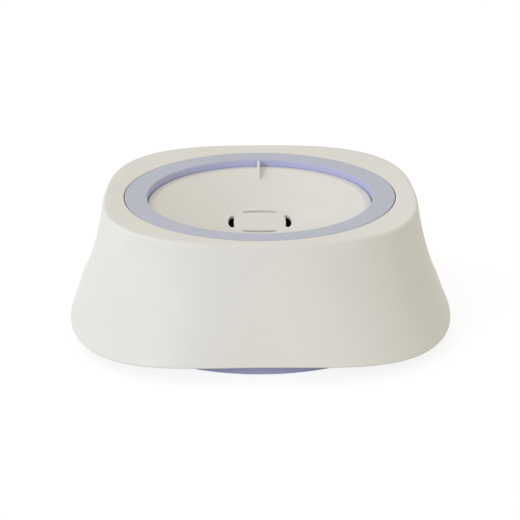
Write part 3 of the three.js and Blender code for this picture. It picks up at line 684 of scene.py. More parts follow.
def shell_angles():
    """Even steps round the shell, with finer ones over the cord outlet."""
    back = math.pi / 2
    half_zone = OUTLET_ZONE * math.asin(OUTLET_WIDTH / 2 / LIP_HALF_WIDTH)
    fine = [back + mix(-half_zone, half_zone, i / OUTLET_STEPS) for i in range(OUTLET_STEPS + 1)]
    past_zone = half_zone * OUTLET_ZONE_ROOM
    return sorted([a for a in even_angles(ROUND_STEPS) if abs(a - back) > past_zone] + fine)


def make_outer_shell():
    bm = bmesh.new()
    angles = shell_angles()
    sections = [shell_section(angle) for angle in angles]
    turns = [(math.cos(angle), math.sin(angle)) for angle in angles]
    rings = [
        [(section[i].x * c, section[i].x * s, section[i].y) for section, (c, s) in zip(sections, turns)]
        for i in range(len(sections[0]))
    ]
    add_rings(bm, rings)
    shell = piece_from("shell", bm)
    boss_top = top_face_height(math.pi / CORNER_COUNT, BOSS_CIRCLE) - SHELL_WALL / 2
    places = corner_places(BOSS_CIRCLE)
    bosses = [rod("boss", BOSS_RADIUS, BOSS_BOTTOM, boss_top, place) for place in places]
    return weld(shell, *bosses)


# Water bowl


def make_water_bowl():
    outside = BOWL_RADIUS + BOWL_WALL
    rim_bottom = RIM_TOP - RIM_THICKNESS
    return turned(
        "bowl",
        [
            (0, BOWL_BOTTOM), (outside, BOWL_BOTTOM, BOWL_FLOOR_ROUND + BOWL_WALL),
            (outside, rim_bottom, RIM_ROOT_ROUND), (RIM_RADIUS, rim_bottom, RIM_OUTER_ROUND),
            (RIM_RADIUS, RIM_TOP, RIM_OUTER_ROUND),
            (BOWL_RADIUS, RIM_TOP - RIM_FALL, RIM_INNER_ROUND),
            (BOWL_RADIUS, BOWL_FLOOR, BOWL_FLOOR_ROUND), (0, BOWL_FLOOR),
        ],
    )


# Float plate


def dish_height(radius):
    share = (radius - PAD_FLAT_RADIUS) / (DISH_RADIUS - PAD_FLAT_RADIUS)
    return PAD_TOP + DISH_DEPTH * max(0, min(1, share)) ** DISH_POWER


def dish_points(drop=0.0):
    """The dish from its level middle out to the band."""
    radii = [mix(PAD_FLAT_RADIUS, DISH_RADIUS, i / DISH_STEPS) for i in range(DISH_STEPS)]
    return [(radius, dish_height(radius) - drop) for radius in radii]


def opening_outline(turn):
    """One of the four openings: a stretch of a squared-off circle and the pad's bulged side."""
    pad_centre = PAD_HALF_WIDTH - PAD_EDGE_RADIUS
    along = pad_centre * math.cos(OPENING_HALF_ANGLE)
    reach = along + math.sqrt(along**2 - pad_centre**2 + PAD_EDGE_RADIUS**2)
    side_angle = math.asin(reach * math.sin(OPENING_HALF_ANGLE) / PAD_EDGE_RADIUS)
    corners = []
    steps = OPENING_STEPS // 2
    for i in range(steps + 1):
        angle = mix(-OPENING_HALF_ANGLE, OPENING_HALF_ANGLE, i / steps)
        radius = squircle(OPENING_RADIUS, OPENING_SQUARENESS, angle)
        corners.append((radius * math.cos(angle), radius * math.sin(angle)))
    for i in range(steps + 1):
        angle = mix(side_angle, -side_angle, i / steps)
        corners.append(
            (pad_centre + PAD_EDGE_RADIUS * math.cos(angle), PAD_EDGE_RADIUS * math.sin(angle))
        )
    for i in (0, steps, steps + 1, 2 * steps + 1):
        corners[i] += (OPENING_CORNER_ROUND,)
    return [Matrix.Rotation(turn, 2) @ point for point in outline(corners)]


def grown(points, distance):
    """A closed outline moved outwards."""
    moved = []
    for i, here in enumerate(points):
        along = points[(i + 1) % len(points)] - points[i - 1]
        moved.append(here + Vector((along.y, -along.x)).normalized() * distance)
    return moved


def add_opening(bm, points):
    """The wall of one opening, its edges rounded. Gives back its top and bottom loops of edges."""
    bottom = PAD_TOP - PLATE_THICKNESS
    levels = [(OPENING_EDGE + SUPPORT_LENGTH, PAD_TOP)]
    for i in range(FILLET_STEPS + 1):
        angle = math.pi / 2 * i / FILLET_STEPS
        out = OPENING_EDGE * (1 - math.sin(angle))
        levels.append((out, PAD_TOP - OPENING_EDGE * (1 - math.cos(angle))))
    levels += [(out, PAD_TOP + bottom - height) for out, height in reversed(levels)]
    rings = [[(p.x, p.y, height) for p in grown(points, out)] for out, height in levels]
    rows = add_rings(bm, rings, closed=False)
    return rows[0], rows[-1]


def loop_edges(bm, row):
    return [bm.edges.get((row[i - 1], row[i])) for i in range(len(row))]


def make_fin():
    """The upright fin that a finger lifts the float by, at the back of the band."""
    toe = Vector((FIN_INNER_RADIUS, dish_height(FIN_INNER_RADIUS)))
    level = Vector((FIN_OUTER_RADIUS - FIN_TOP_LENGTH, FIN_TOP))
    shoulder = Vector((mix(toe.x, level.x, FIN_SHOULDER_SHARE), FIN_TOP))
    curve = []
    for i in range(FIN_STEPS + 1):
        t = i / FIN_STEPS
        curve.append(level * (1 - t) ** 2 + shoulder * 2 * t * (1 - t) + toe * t**2)
    side = [
        Vector((FIN_INNER_RADIUS, toe.y - FIN_ROOT_DEPTH)),
        Vector((FIN_OUTER_RADIUS, FLOAT_TOP - FIN_ROOT_DEPTH)),
        Vector((FIN_OUTER_RADIUS, FIN_TOP)),
        *curve,
    ]
    bm = bmesh.new()
    add_slab(bm, [[(x, p.x, p.y) for p in side] for x in (-FIN_THICKNESS / 2, FIN_THICKNESS / 2)])
    bmesh.ops.recalc_face_normals(bm, faces=bm.faces)
    outer_edges = [e for e in bm.edges if e.calc_face_angle() > SMOOTH_ANGLE]
    round_edges(bm, outer_edges, FIN_EDGE_ROUND, FIN_EDGE_STEPS)
    return piece_from("fin", bm)


def make_float_plate():
    inside_skirt = FLOAT_RADIUS - FLOAT_SKIRT_WALL
    skirt_bottom = FLOAT_TOP - FLOAT_SKIRT_HEIGHT
    corners = [
        *dish_points(PLATE_THICKNESS), (inside_skirt, FLOAT_TOP - PLATE_THICKNESS),
        (inside_skirt, skirt_bottom, FLOAT_EDGE_ROUND),
        (FLOAT_RADIUS, skirt_bottom, FLOAT_EDGE_ROUND), (FLOAT_RADIUS, FLOAT_TOP, FLOAT_RIM_ROUND),
        (DISH_RADIUS, FLOAT_TOP, DISH_EDGE_ROUND), *reversed(dish_points()),
    ]
    bm = bmesh.new()
    rows = add_rings(bm, turned_rings(outline(corners), ROUND_STEPS), closed=False)
    tops, bottoms = [rows[-1]], [rows[0]]
    for i in range(CORNER_COUNT):
        top, bottom = add_opening(bm, opening_outline(i * math.pi / 2))
        tops.append(top)
        bottoms.append(bottom)
    for loops in (tops, bottoms):
        edges = [edge for row in loops for edge in loop_edges(bm, row)]
        bmesh.ops.triangle_fill(bm, use_beauty=True, edges=edges)
    plate = piece_from("plate", bm)
    return weld(plate, make_fin())


# painted shade: the chamber is black so that the dish's openings show dark, for the shade inside the float
def make_float_chamber():
    top = FLOAT_TOP - PLATE_THICKNESS - SEAT_GAP
    inside = CHAMBER_RADIUS - CHAMBER_WALL
    tube_outside = TUBE_RADIUS + CHAMBER_WALL
    tube_top = dish_height(TUBE_RADIUS) - PLATE_THICKNESS - SEAT_GAP
    floor = CHAMBER_BOTTOM + CHAMBER_WALL
    return turned(
        "chamber",
        [
            (TUBE_RADIUS, CHAMBER_BOTTOM, TUBE_ROUND),
            (CHAMBER_RADIUS, CHAMBER_BOTTOM, CHAMBER_ROUND), (CHAMBER_RADIUS, top), (inside, top),
            (inside, floor, CHAMBER_ROUND - CHAMBER_WALL), (tube_outside, floor),
            (tube_outside, tube_top), (TUBE_RADIUS, tube_top),
        ],
    )


# Base pan, feet and screws


def board_places():
    """Over the four holes of the control board."""
    middle = (Vector(BOARD_LOW) + Vector(BOARD_HIGH)) / 2
    across = BOARD_HIGH[X] - middle.x - BOARD_HOLE_INSET
    along = BOARD_HIGH[Y] - middle.y - BOARD_HOLE_INSET
    return [Vector((middle.x + i * across, middle.y + j * along, 0)) for i in (-1, 1) for j in (-1, 1)]


def make_base_pan():
    inside = PAN_RADIUS - PAN_WALL
    within_floor = PAN_BOTTOM + PAN_FLOOR / 2
    post_top = FLANGE_BOTTOM - SEAT_GAP
    board_post_top = BOARD_LOW[Z] - SEAT_GAP
    pan = turned(
        "pan",
        [
            (0, PAN_BOTTOM), (PAN_RADIUS, PAN_BOTTOM, PAN_EDGE_ROUND),
            (PAN_RADIUS, PAN_TOP, RIM_OUTER_ROUND), (inside, PAN_TOP, RIM_OUTER_ROUND),
            (inside, PAN_FLOOR_TOP, PAN_INNER_ROUND), (0, PAN_FLOOR_TOP),
        ],
    )
    foot_cup = turned(
        "foot cup",
        [
            (0, within_floor), (FOOT_CUP_RADIUS, within_floor),
            (FOOT_CUP_RADIUS, HEAD_SEAT + FOOT_SHELF, FOOT_EDGE_ROUND),
            (BOSS_RADIUS, HEAD_SEAT + FOOT_SHELF, FOOT_EDGE_ROUND),
            (BOSS_RADIUS, post_top, FOOT_EDGE_ROUND), (0, post_top),
        ],
        SMALL_STEPS,
    )
    screw_hole = turned(
        "screw hole",
        [
            (0, PAN_BOTTOM - CUTTER_OVERRUN), (FOOT_RADIUS + SEAT_GAP, PAN_BOTTOM - CUTTER_OVERRUN),
            (FOOT_RADIUS + SEAT_GAP, FOOT_CEILING),
            (SHELL_SCREW_HEAD_RADIUS + SEAT_GAP, FOOT_CEILING),
            (SHELL_SCREW_HEAD_RADIUS + SEAT_GAP, HEAD_SEAT),
            (SHELL_SCREW_RADIUS + SCREW_HOLE_GAP, HEAD_SEAT),
            (SHELL_SCREW_RADIUS + SCREW_HOLE_GAP, post_top + CUTTER_OVERRUN),
            (0, post_top + CUTTER_OVERRUN),
        ],
        SMALL_STEPS,
    )
    above_post = board_post_top + CUTTER_OVERRUN
    board_post = rod("board post", BOARD_POST_RADIUS, within_floor, board_post_top, edge=FOOT_EDGE_ROUND)
    post_hole = rod("post hole", BOARD_SCREW_RADIUS + SCREW_HOLE_GAP, PAN_FLOOR_TOP, above_post)
    socket_hole = drill(SOCKET_NOSE_RADIUS + SOCKET_HOLE_GAP, inside, PAN_RADIUS)
    corners = corner_places(BOSS_CIRCLE)
    weld(pan, copied(foot_cup, corners), copied(board_post, board_places()))
    holes = [copied(screw_hole, corners), copied(post_hole, board_places()), laid_back(socket_hole)]
    return cut(pan, *holes)


def make_foot():
    """A rubber foot, its sole ringed by shallow grooves."""
    sole = FOOT_RADIUS - FOOT_TAPER
    corners = [(0, 0)]
    for i in range(1, FOOT_GROOVES + 1):
        middle = sole * i / (FOOT_GROOVES + 1)
        width = sole / (FOOT_GROOVES + 1) / 4
        corners += [(middle - width, 0), (middle, FOOT_GROOVE_DEPTH), (middle + width, 0)]
    corners += [
        (sole, 0, FOOT_EDGE_ROUND), (FOOT_RADIUS, PAN_BOTTOM),
        (FOOT_RADIUS, FOOT_CEILING - SEAT_GAP, FOOT_EDGE_ROUND), (0, FOOT_CEILING - SEAT_GAP),
    ]
    return turned("foot", corners, SMALL_STEPS)


def make_screw(name, shank, head, head_height, thread=None, thread_share=1.0):
    """A screw that points up, as long as its CAD node, with a thread and a cross recess.

    The thread at its end has its own length, or a share of the shank's.
    """
    length = highest(name + "_1") - lowest(name + "_1") - head_height
    thread = thread or length * thread_share
    pitch = THREAD_PITCH_SHARE * shank
    root = shank * (1 - THREAD_DEPTH_SHARE)
    top = head_height + length
    thread_start = top - thread
    profile = outline(
        [
            (0, 0), (head, 0, head_height * HEAD_CROWN_SHARE),
            (head, head_height, head_height * HEAD_EDGE_SHARE), (root, head_height),
            (root, thread_start),
        ]
    )
    rings = turned_rings(profile, THREAD_STEPS)
    rows = int(thread / pitch * THREAD_ROWS)
    for row in range(1, rows + 1):
        height = mix(thread_start, top, row / rows)
        fade = min(1, (height - thread_start) / pitch, (top - height) / pitch)
        ring_points = []
        for a in even_angles(THREAD_STEPS):
            phase = (height / pitch - a / (2 * math.pi)) % 1
            radius = mix(root, shank, fade * (1 - abs(2 * phase - 1)))
            ring_points.append((radius * math.cos(a), radius * math.sin(a), height))
        rings.append(ring_points)
    rings.append([(0, 0, top)] * THREAD_STEPS)
    bm = bmesh.new()
    add_rings(bm, rings, closed=False)
    bmesh.ops.remove_doubles(bm, verts=bm.verts, dist=MERGE_DISTANCE)
    bmesh.ops.dissolve_degenerate(bm, dist=MERGE_DISTANCE, edges=bm.edges[:])
    reach, half = head * RECESS_REACH_SHARE, head * RECESS_WIDTH_SHARE / 2
    recess = cross(reach, half, -CUTTER_OVERRUN, head_height * RECESS_DEPTH_SHARE)
    return cut(piece_from(name, bm), *recess)


# Inner housing and heater


def make_inner_housing():
    outside_rebate = REBATE_RADIUS + DECK_THICKNESS
    outside_cup = CUP_RADIUS + CUP_WALL
    cup_top = highest("inner_housing")
    flange_edge = highest("inner_housing", X)
    housing = turned(
        "housing",
        [
            (DECK_HOLE_RADIUS, REBATE_FLOOR - DECK_THICKNESS),
            (outside_rebate, REBATE_FLOOR - DECK_THICKNESS),
            (outside_rebate, DECK_TOP - DECK_THICKNESS), (CUP_RADIUS, DECK_TOP - DECK_THICKNESS),
            (CUP_RADIUS, FLANGE_BOTTOM), (flange_edge, FLANGE_BOTTOM, RIM_OUTER_ROUND),
            (flange_edge, FLANGE_TOP, RIM_OUTER_ROUND), (outside_cup, FLANGE_TOP, RIM_ROOT_ROUND),
            (outside_cup, cup_top, CUP_LIP_ROUND), (CUP_RADIUS, cup_top, CUP_LIP_ROUND),
            (CUP_RADIUS, DECK_TOP, CUP_FLOOR_ROUND), (REBATE_RADIUS, DECK_TOP, PLATE_EDGE_ROUND),
            (REBATE_RADIUS, REBATE_FLOOR, PLATE_EDGE_ROUND / 2),
            (DECK_HOLE_RADIUS, REBATE_FLOOR, PLATE_EDGE_ROUND),
        ],
    )
    boss_bottom = RETAINER_TOP + SEAT_GAP
    boss_top = DECK_TOP - DECK_THICKNESS / 2
    core_bottom, core_top = boss_bottom - CUTTER_OVERRUN, highest("retainer_screw_1") + SEAT_GAP
    boss = rod("boss", RETAINER_BOSS_RADIUS, boss_bottom, boss_top, edge=RIM_OUTER_ROUND)
    core = rod("core", RETAINER_SCREW_RADIUS + SCREW_HOLE_GAP, core_bottom, core_top)
    hole = drill(SHELL_SCREW_RADIUS + SCREW_HOLE_GAP, FLANGE_BOTTOM, FLANGE_TOP)
    places = corner_places(RETAINER_SCREW_CIRCLE)
    weld(housing, copied(boss, places))
    return cut(housing, copied(core, places), copied(hole, corner_places(BOSS_CIRCLE)))


def disc_for(node, edge):
    """A disc in the place of a CAD disc, its edges rounded."""
    radius = highest(node, X)
    return rod(node + "_disc", radius, lowest(node), highest(node), steps=ROUND_STEPS, edge=edge)


def ring_for(node, inner):
    """A ring in the place of a CAD ring."""
    return ring(node + "_ring", inner, highest(node, X), lowest(node), highest(node), SEAL_ROUND)


def middle_of(node):
    low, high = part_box(node)
    return (Vector(low) + Vector(high)) / 2


def make_insulation_pad():
    low, high = (Vector(corner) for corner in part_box("thermal_fuse"))
    room = Vector((POCKET_GAP, POCKET_GAP, 0))
    low, high = low - room, high + room
    low.z = lowest("insulation_pad") - CUTTER_OVERRUN
    high.z = highest("insulation_pad") + CUTTER_OVERRUN
    holes = [
        block("fuse pocket", low, high),
        rod("sensor hole", THERMISTOR_RADIUS + POCKET_GAP, low.z, high.z, SENSOR_PLACE),
        rod("lead hole", LEAD_HOLE_RADIUS, low.z, high.z, HEATER_LEAD_PLACE),
    ]
    return cut(disc_for("insulation_pad", PLATE_EDGE_ROUND), *holes)


def make_retainer():
    """A disc with four eared arms that presses the stack up against the deck."""
    bottom, top = lowest("heater_retainer"), highest("heater_retainer")
    places = corner_places(RETAINER_SCREW_CIRCLE)
    retainer = rod("retainer", RETAINER_RADIUS, bottom, top, steps=ROUND_STEPS, edge=PLATE_EDGE_ROUND)
    arms = []
    for turn in (math.pi / 4, -math.pi / 4):
        arm = block(
            "arm",
            (-RETAINER_SCREW_CIRCLE, -RETAINER_EAR_RADIUS, bottom),
            (RETAINER_SCREW_CIRCLE, RETAINER_EAR_RADIUS, top),
            PLATE_EDGE_ROUND,
        )
        arm.data.transform(Matrix.Rotation(turn, 4, "Z"))
        arms.append(arm)
    ear = rod("ear", RETAINER_EAR_RADIUS, bottom, top, edge=PLATE_EDGE_ROUND)
    weld(retainer, *arms, copied(ear, places))
    holes = [
        copied(drill(RETAINER_SCREW_RADIUS + SCREW_HOLE_GAP, bottom, top), places),
        drill(LEAD_HOLE_RADIUS, bottom, top, SENSOR_PLACE),
        drill(LEAD_HOLE_RADIUS, bottom, top, HEATER_LEAD_PLACE),
    ]
    return cut(retainer, *holes)


def make_thermistor():
    low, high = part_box("thermistor")
    edge = THERMISTOR_RADIUS * SENSOR_EDGE_SHARE
    return rod("sensor", THERMISTOR_RADIUS, low[Z], high[Z], SENSOR_PLACE, edge=edge)


def make_fuse():
    """A sealed can with crimped ends and a wire at each end."""
    low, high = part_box("thermal_fuse")
    half = (high[X] - low[X]) / 2
    body = half - FUSE_WIRE_LENGTH
    crimp = FUSE_RADIUS * CRIMP_SHARE
    crimp_end, can_start, can_end = (body * share for share in CRIMP_REACH)
    fuse = turned(
        "fuse",
        [
            (0, -half), (FUSE_WIRE_RADIUS, -half), (FUSE_WIRE_RADIUS, -body),
            (crimp, -body, FUSE_WIRE_RADIUS / 2), (crimp, -crimp_end), (FUSE_RADIUS, -can_start),
            (FUSE_RADIUS, can_end), (crimp, body, FUSE_WIRE_RADIUS / 2), (FUSE_WIRE_RADIUS, body),
            (FUSE_WIRE_RADIUS, half), (0, half),
        ],
        SMALL_STEPS,
    )
    turn = Matrix.Rotation(math.pi / 2, 4, "Y")
    fuse.data.transform(Matrix.Translation(middle_of("thermal_fuse")) @ turn)
    return fuse


# Leads


def smooth_path(points):
    """A smooth curve through points, whose bends keep clear of overshooting."""
    points = [Vector(point) for point in points]
    ends = [2 * points[0] - points[1], *points, 2 * points[-1] - points[-2]]
    path = []
    for a, b, c, d in zip(ends, ends[1:], ends[2:], ends[3:]):
        at_b = (b - a).length ** 0.5
        at_c = at_b + (c - b).length ** 0.5
        at_d = at_c + (d - c).length ** 0.5
        for i in range(PATH_STEPS):
            t = mix(at_b, at_c, i / PATH_STEPS)
            ab = mix(a, b, t / at_b)
            bc = mix(b, c, (t - at_b) / (at_c - at_b))
            cd = mix(c, d, (t - at_c) / (at_d - at_c))
            abc = mix(ab, bc, t / at_c)
            bcd = mix(bc, cd, (t - at_b) / (at_d - at_b))
            path.append(mix(abc, bcd, (t - at_b) / (at_c - at_b)))
    return [*path, points[-1]]


def tube(name, path, radius):
    """A round tube along a path, with closed ends."""
    angles = even_angles(LEAD_SIDES)
    along = (path[1] - path[0]).normalized()
    side = along.orthogonal().normalized()
    rings = [[path[0]] * LEAD_SIDES]
    for i, here in enumerate(path):
        next_along = (path[min(i + 1, len(path) - 1)] - path[max(i - 1, 0)]).normalized()
        side = along.rotation_difference(next_along) @ side
        along = next_along
        across = along.cross(side)
        rings.append([here + (side * math.cos(a) + across * math.sin(a)) * radius for a in angles])
    rings.append([path[-1]] * LEAD_SIDES)
    bm = bmesh.new()
    add_rings(bm, rings, closed=False)
    return piece_from(name, bm)


def falling_lead(name, place, top, terminal):
    """A lead that drops through the heater's stack and runs to the front of its terminal."""
    terminal_middle = middle_of(terminal)
    front = lowest(terminal, Y) - SEAT_GAP
    low = top - LEAD_DROP
    end = Vector((terminal_middle.x, front, TERMINAL_LEVEL))
    before = end - Vector((0, LEAD_REACH, 0))
    halfway = (Vector(place) + before) / 2
    halfway.z = mix(low, end.z, LEAD_FALL_SHARE)
    drop = [Vector((place.x, place.y, z)) for z in (top, (top + low) / 2, low)]
    return tube(name, smooth_path([*drop, halfway, before, end]), LEAD_RADIUS)


def socket_lead():
    end = middle_of("power_terminal")
    end = Vector((end.x, highest("power_terminal", Y) + SEAT_GAP, TERMINAL_LEVEL))
    start = Vector((0, lowest("power_socket", Y) - SEAT_GAP, SOCKET_MIDDLE))
    return tube("socket_cable", smooth_path([start, (start + end) / 2, end]), LEAD_RADIUS)


# Control board


def make_board():
    """The board: a slab with round corners and four screw holes."""
    low, high = BOARD_LOW, BOARD_HIGH
    corners = [(low[X], low[Y]), (high[X], low[Y]), (high[X], high[Y]), (low[X], high[Y])]
    edge = outline([(*corner, BOARD_CORNER_ROUND) for corner in corners])
    bm = bmesh.new()
    add_slab(bm, [[(p.x, p.y, z) for p in edge] for z in (low[Z], high[Z])])
    hole = drill(BOARD_SCREW_RADIUS + SCREW_HOLE_GAP, low[Z], high[Z])
    return cut(piece_from("board", bm), copied(hole, board_places()))


def make_pads():
    """Tinned rings round the board's holes."""
    inner = BOARD_SCREW_RADIUS + SCREW_HOLE_GAP
    pad = ring("pad", inner, BOARD_POST_RADIUS, BOARD_TOP, BOARD_TOP + PAD_HEIGHT, 0, SMALL_STEPS)
    return copied(pad, board_places())


def bent_leg(length, height, width, thick):
    """A flat leg that leaves a body level, bends down and ends in a level foot. It runs to -Y."""
    leave, land, inner_land, inner_leave = (-length * share for share in LEG_BENDS)
    side = [
        (0, height), (leave, height), (land, thick), (-length, thick), (-length, 0),
        (inner_land, 0), (inner_leave, height - thick), (0, height - thick),
    ]
    bm = bmesh.new()
    add_slab(bm, [[(x, y, z) for y, z in side] for x in (-width / 2, width / 2)])
    return piece_from("leg", bm)


def make_chip():
    """A chip's body with its dimple, and its legs."""
    low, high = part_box("control_chip")
    middle = middle_of("control_chip")
    leg_length = CHIP_LEG_PITCH
    front, back = low[Y] + leg_length, high[Y] - leg_length
    body = block("chip", (low[X], front, low[Z]), (high[X], back, high[Z]), PAD_HEIGHT * 2)
    place = Vector((low[X] + leg_length, front + leg_length, 0))
    dimple = rod("dimple", CHIP_LEG_WIDTH, high[Z] - PAD_HEIGHT, high[Z] + PAD_HEIGHT, place)
    cut(body, dimple)
    level = (high[Z] - low[Z]) * LEG_LEVEL_SHARE + low[Z] - BOARD_TOP
    leg = bent_leg(leg_length, level, CHIP_LEG_WIDTH, PAD_HEIGHT)
    move = Matrix.Translation((0, front - middle.y, 0))
    copied(leg, [move, Matrix.Rotation(math.pi, 4, "Z") @ move])
    width = CHIP_LEG_PITCH * (CHIP_LEG_PAIRS - 1)
    middle.z = BOARD_TOP
    return body, in_a_row("chip_legs", leg, tin, middle, CHIP_LEG_PAIRS, width)


def make_transistor():
    """A power transistor: its body, and its tab and three legs."""
    low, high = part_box("power_transistor")
    middle = middle_of("power_transistor")
    front, back = low[Y] + TRANSISTOR_LEG_LENGTH, high[Y] - TRANSISTOR_TAB_DEPTH
    inset = PAD_HEIGHT * 3
    body = block("transistor", (low[X], front, low[Z]), (high[X], back, high[Z]), inset)
    tab = block(
        "tab",
        (low[X] + inset, back - inset, BOARD_TOP),
        (high[X] - inset, high[Y], BOARD_TOP + TRANSISTOR_TAB_DEPTH / 2),
        PAD_HEIGHT,
    )
    place = Vector((middle.x, high[Y] - TRANSISTOR_TAB_DEPTH / 2, 0))
    cut(tab, rod("hole", TRANSISTOR_TAB_DEPTH / 4, BOARD_TOP, high[Z], place))
    width = high[X] - low[X]
    level = (high[Z] - BOARD_TOP) / 2
    leg = bent_leg(TRANSISTOR_LEG_LENGTH, level, width * TRANSISTOR_LEG_SHARE, PAD_HEIGHT * 4)
    row = (middle.x, front, BOARD_TOP)
    legs = in_a_row("transistor_legs", leg, tin, row, TRANSISTOR_LEGS, width / 2)
    return body, joined(tab, legs)


def make_terminals():
    """The three terminals and their clamp screws. A terminal's way in is on the side of its lead."""
    low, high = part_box("power_terminal")
    width, depth = high[X] - low[X], high[Y] - low[Y]
    height = high[Z] - BOARD_TOP
    spacing = width / TERMINAL_WAYS
    corner = Vector((width / 2, depth / 2, 0))
    body = block("terminals", -corner, corner + Vector((0, 0, height)), PAD_HEIGHT * 3)
    well, entry = spacing * WELL_SHARE, spacing * ENTRY_SHARE
    level = TERMINAL_LEVEL - BOARD_TOP
    ways = [Vector(((i - (TERMINAL_WAYS - 1) / 2) * spacing, 0, 0)) for i in range(TERMINAL_WAYS)]
    entry_start = (-entry, -depth / 2 - CUTTER_OVERRUN, level - entry)
    holes = [
        copied(block("entry", entry_start, (entry, -depth / 4, level + entry)), ways),
        copied(rod("well", well, height - well, height + CUTTER_OVERRUN), ways),
    ]
    cut(body, *holes)
    head_top, slot_bottom = height - well * CLAMP_DEPTH_SHARE, height - well * SLOT_DEPTH_SHARE
    head = rod("clamp screw", well * CLAMP_SHARE, height - well, head_top, edge=PAD_HEIGHT)
    half_slot = PAD_HEIGHT * SLOT_SHARE
    slot = block("slot", (-well, -half_slot, slot_bottom), (well, half_slot, height))
    cut(head, slot)
    row_width = spacing * (TERMINAL_WAYS - 1)
    heads = in_a_row("clamp_screws", head, brass, (0, 0, 0), TERMINAL_WAYS, row_width)
    moves = []
    for node in TERMINAL_NODES:
        place = middle_of(node)
        place.z = BOARD_TOP
        turn = math.pi if node == "power_terminal" else 0
        moves.append(Matrix.Translation(place) @ Matrix.Rotation(turn, 4, "Z"))
    return copied(body, moves), copied(heads, moves)


def make_capacitor():
    """A can in a sleeve, with the groove over its rubber plug and the cross on its top."""
    radius = (highest("smoothing_capacitor", X) - lowest("smoothing_capacitor", X)) / 2
    bottom, top = BOARD_TOP, highest("smoothing_capacitor")
    groove = radius * CAN_GROOVE_SHARE
    edge, recess = (radius * share for share in CAN_TOP_SHARES)
    can = turned(
        "capacitor",
        [
            (0, bottom), (radius, bottom, groove), (radius, bottom + groove * 4, groove),
            (radius - groove, bottom + groove * 5, groove), (radius, bottom + groove * 6, groove),
            (radius, top, groove * 2), (edge, top, groove / 2), (recess, top - groove / 2),
            (0, top - groove / 2),
        ],
        SMALL_STEPS,
    )
    cut(can, *cross(radius * CAN_CROSS_SHARE, groove / 3, top - groove, top + groove))
    can.data.transform(Matrix.Translation(middle_of("smoothing_capacitor") * Vector((1, 1, 0))))
    return can


# Power socket


def make_socket():
    """The socket's block, its round nose, the bore for the plug and the pin in it."""
    low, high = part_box("power_socket")
    socket = block("socket", low, (high[X], SOCKET_FRONT, high[Z]), SOCKET_EDGE_ROUND)
    mouth = PAN_RADIUS
    inside = mouth - SOCKET_BORE_DEPTH
    nose = laid_back(rod("nose", SOCKET_NOSE_RADIUS, inside, mouth, edge=SOCKET_EDGE_ROUND))
    bore = laid_back(rod("bore", SOCKET_BORE_RADIUS, inside, mouth + CUTTER_OVERRUN))
    start, end = inside - CUTTER_OVERRUN, mouth - SOCKET_PIN_INSET
    pin = rod("pin", SOCKET_PIN_RADIUS, start, end, edge=SOCKET_PIN_RADIUS / 2)
    weld(socket, nose)
    cut(socket, bore)
    return socket, laid_back(pin)


def make_socket_seal():
    inner = SOCKET_NOSE_RADIUS + SEAT_GAP
    outer = highest("socket_seal", X)
    low, high = lowest("socket_seal", Y), highest("socket_seal", Y)
    return laid_back(ring("socket_ring", inner, outer, low, high, SEAL_ROUND, SMALL_STEPS))


# Materials. Grains are a size and a depth; sheens are the roughness that a finish wanders over.

CREAM = srgb(226, 224, 217)
LAVENDER = srgb(183, 186, 222)
# painted shade: the bowl's lavender made darker for the base pan, for the shade under the shell's lip
PAN_LAVENDER_PAINTED_SHADE = srgb(171, 173, 207)
# painted sheen: the rim's top face is painted a greyer, less blue lavender than the wall, for the bright room
# reflected in it
RIM_LAVENDER_PAINTED_SHEEN = srgb(182, 185, 201)
BLACK = srgb(17, 16, 14)
HOUSING = srgb(205, 203, 196)
SILICONE = srgb(196, 200, 206)
RUBBER = srgb(46, 46, 49)
TERMINAL_CREAM = srgb(232, 229, 216)
ALUMINIUM = (0.78, 0.79, 0.8, 1)
STEEL = (0.6, 0.61, 0.62, 1)
TIN = (0.72, 0.72, 0.7, 1)
BRASS = (0.72, 0.55, 0.26, 1)
FILM_AMBER = srgb(196, 120, 38)
FILM_TRACK = srgb(120, 62, 26)
FELT_DARK = srgb(150, 150, 144)
FELT_LIGHT = srgb(205, 204, 197)
BOARD_GREEN = srgb(28, 88, 56)
BOARD_TRACK = srgb(62, 132, 84)
CAN_SLEEVE = srgb(30, 34, 44)
CAN_METAL = (0.7, 0.71, 0.72, 1)
SLEEVE_GREY = srgb(52, 53, 60)
LEVEL_BLEND = 0.0008
PLATE_LINE_SCALE = 260.0
TRACK_SCALE = 125.0
TRACK_GRID_SCALE = 75.0
WEAVE_SCALE = 1500.0
CAN_TOP_DEPTH = 0.0004
COARSE_GRAIN = (0.0005, 0.00003)
SATIN_GRAIN = (0.0004, 0.00002)
FINE_GRAIN = (0.0003, 0.00001)
RUBBER_GRAIN = (0.0003, 0.00005)
CLOUD_SCALE = 22.0
PLASTIC_SHEEN_SCALE = 90.0
PLASTIC_SHEEN_ROOM = 0.03
METAL_SHEEN_ROOM = 0.08
METAL_TINTS = (0.9, 1.02)
SLEEVE_TINTS = (1.5, 0.5)


def new_material(name):
    material = bpy.data.materials.new(name)
    material.use_nodes = True
    return material, material.node_tree


def shade(material, colour, roughness, normal, **others):
    """Gives a material's shader its colour, roughness and bump, and any other inputs."""
    tree = material.node_tree
    inputs = {"Base Color": colour, "Roughness": roughness, "Normal": normal, **others}
    set_inputs(tree, tree.nodes["Principled BSDF"], inputs)
    return material


def place_on_piece(tree):
    return add_node(tree, "ShaderNodeTexCoord", "Object")


def noise(tree, scale, detail=4.0):
    inputs = {"Scale": scale, "Detail": detail, "Vector": place_on_piece(tree)}
    return add_node(tree, "ShaderNodeTexNoise", "Fac", inputs)


def spread(tree, value, low, high):
    """A texture's middle part spread between two values."""
    inputs = {"Value": value, "From Min": 0.3, "From Max": 0.7, "To Min": low, "To Max": high}
    return add_node(tree, "ShaderNodeMapRange", "Result", inputs)


def blend(tree, share, one, two):
    inputs = {"Factor": share, "A": one, "B": two}
    return add_node(tree, "ShaderNodeMix", "Result", inputs, data_type="RGBA")


def scaled(colour, share):
    return (colour[0] * share, colour[1] * share, colour[2] * share, 1.0)


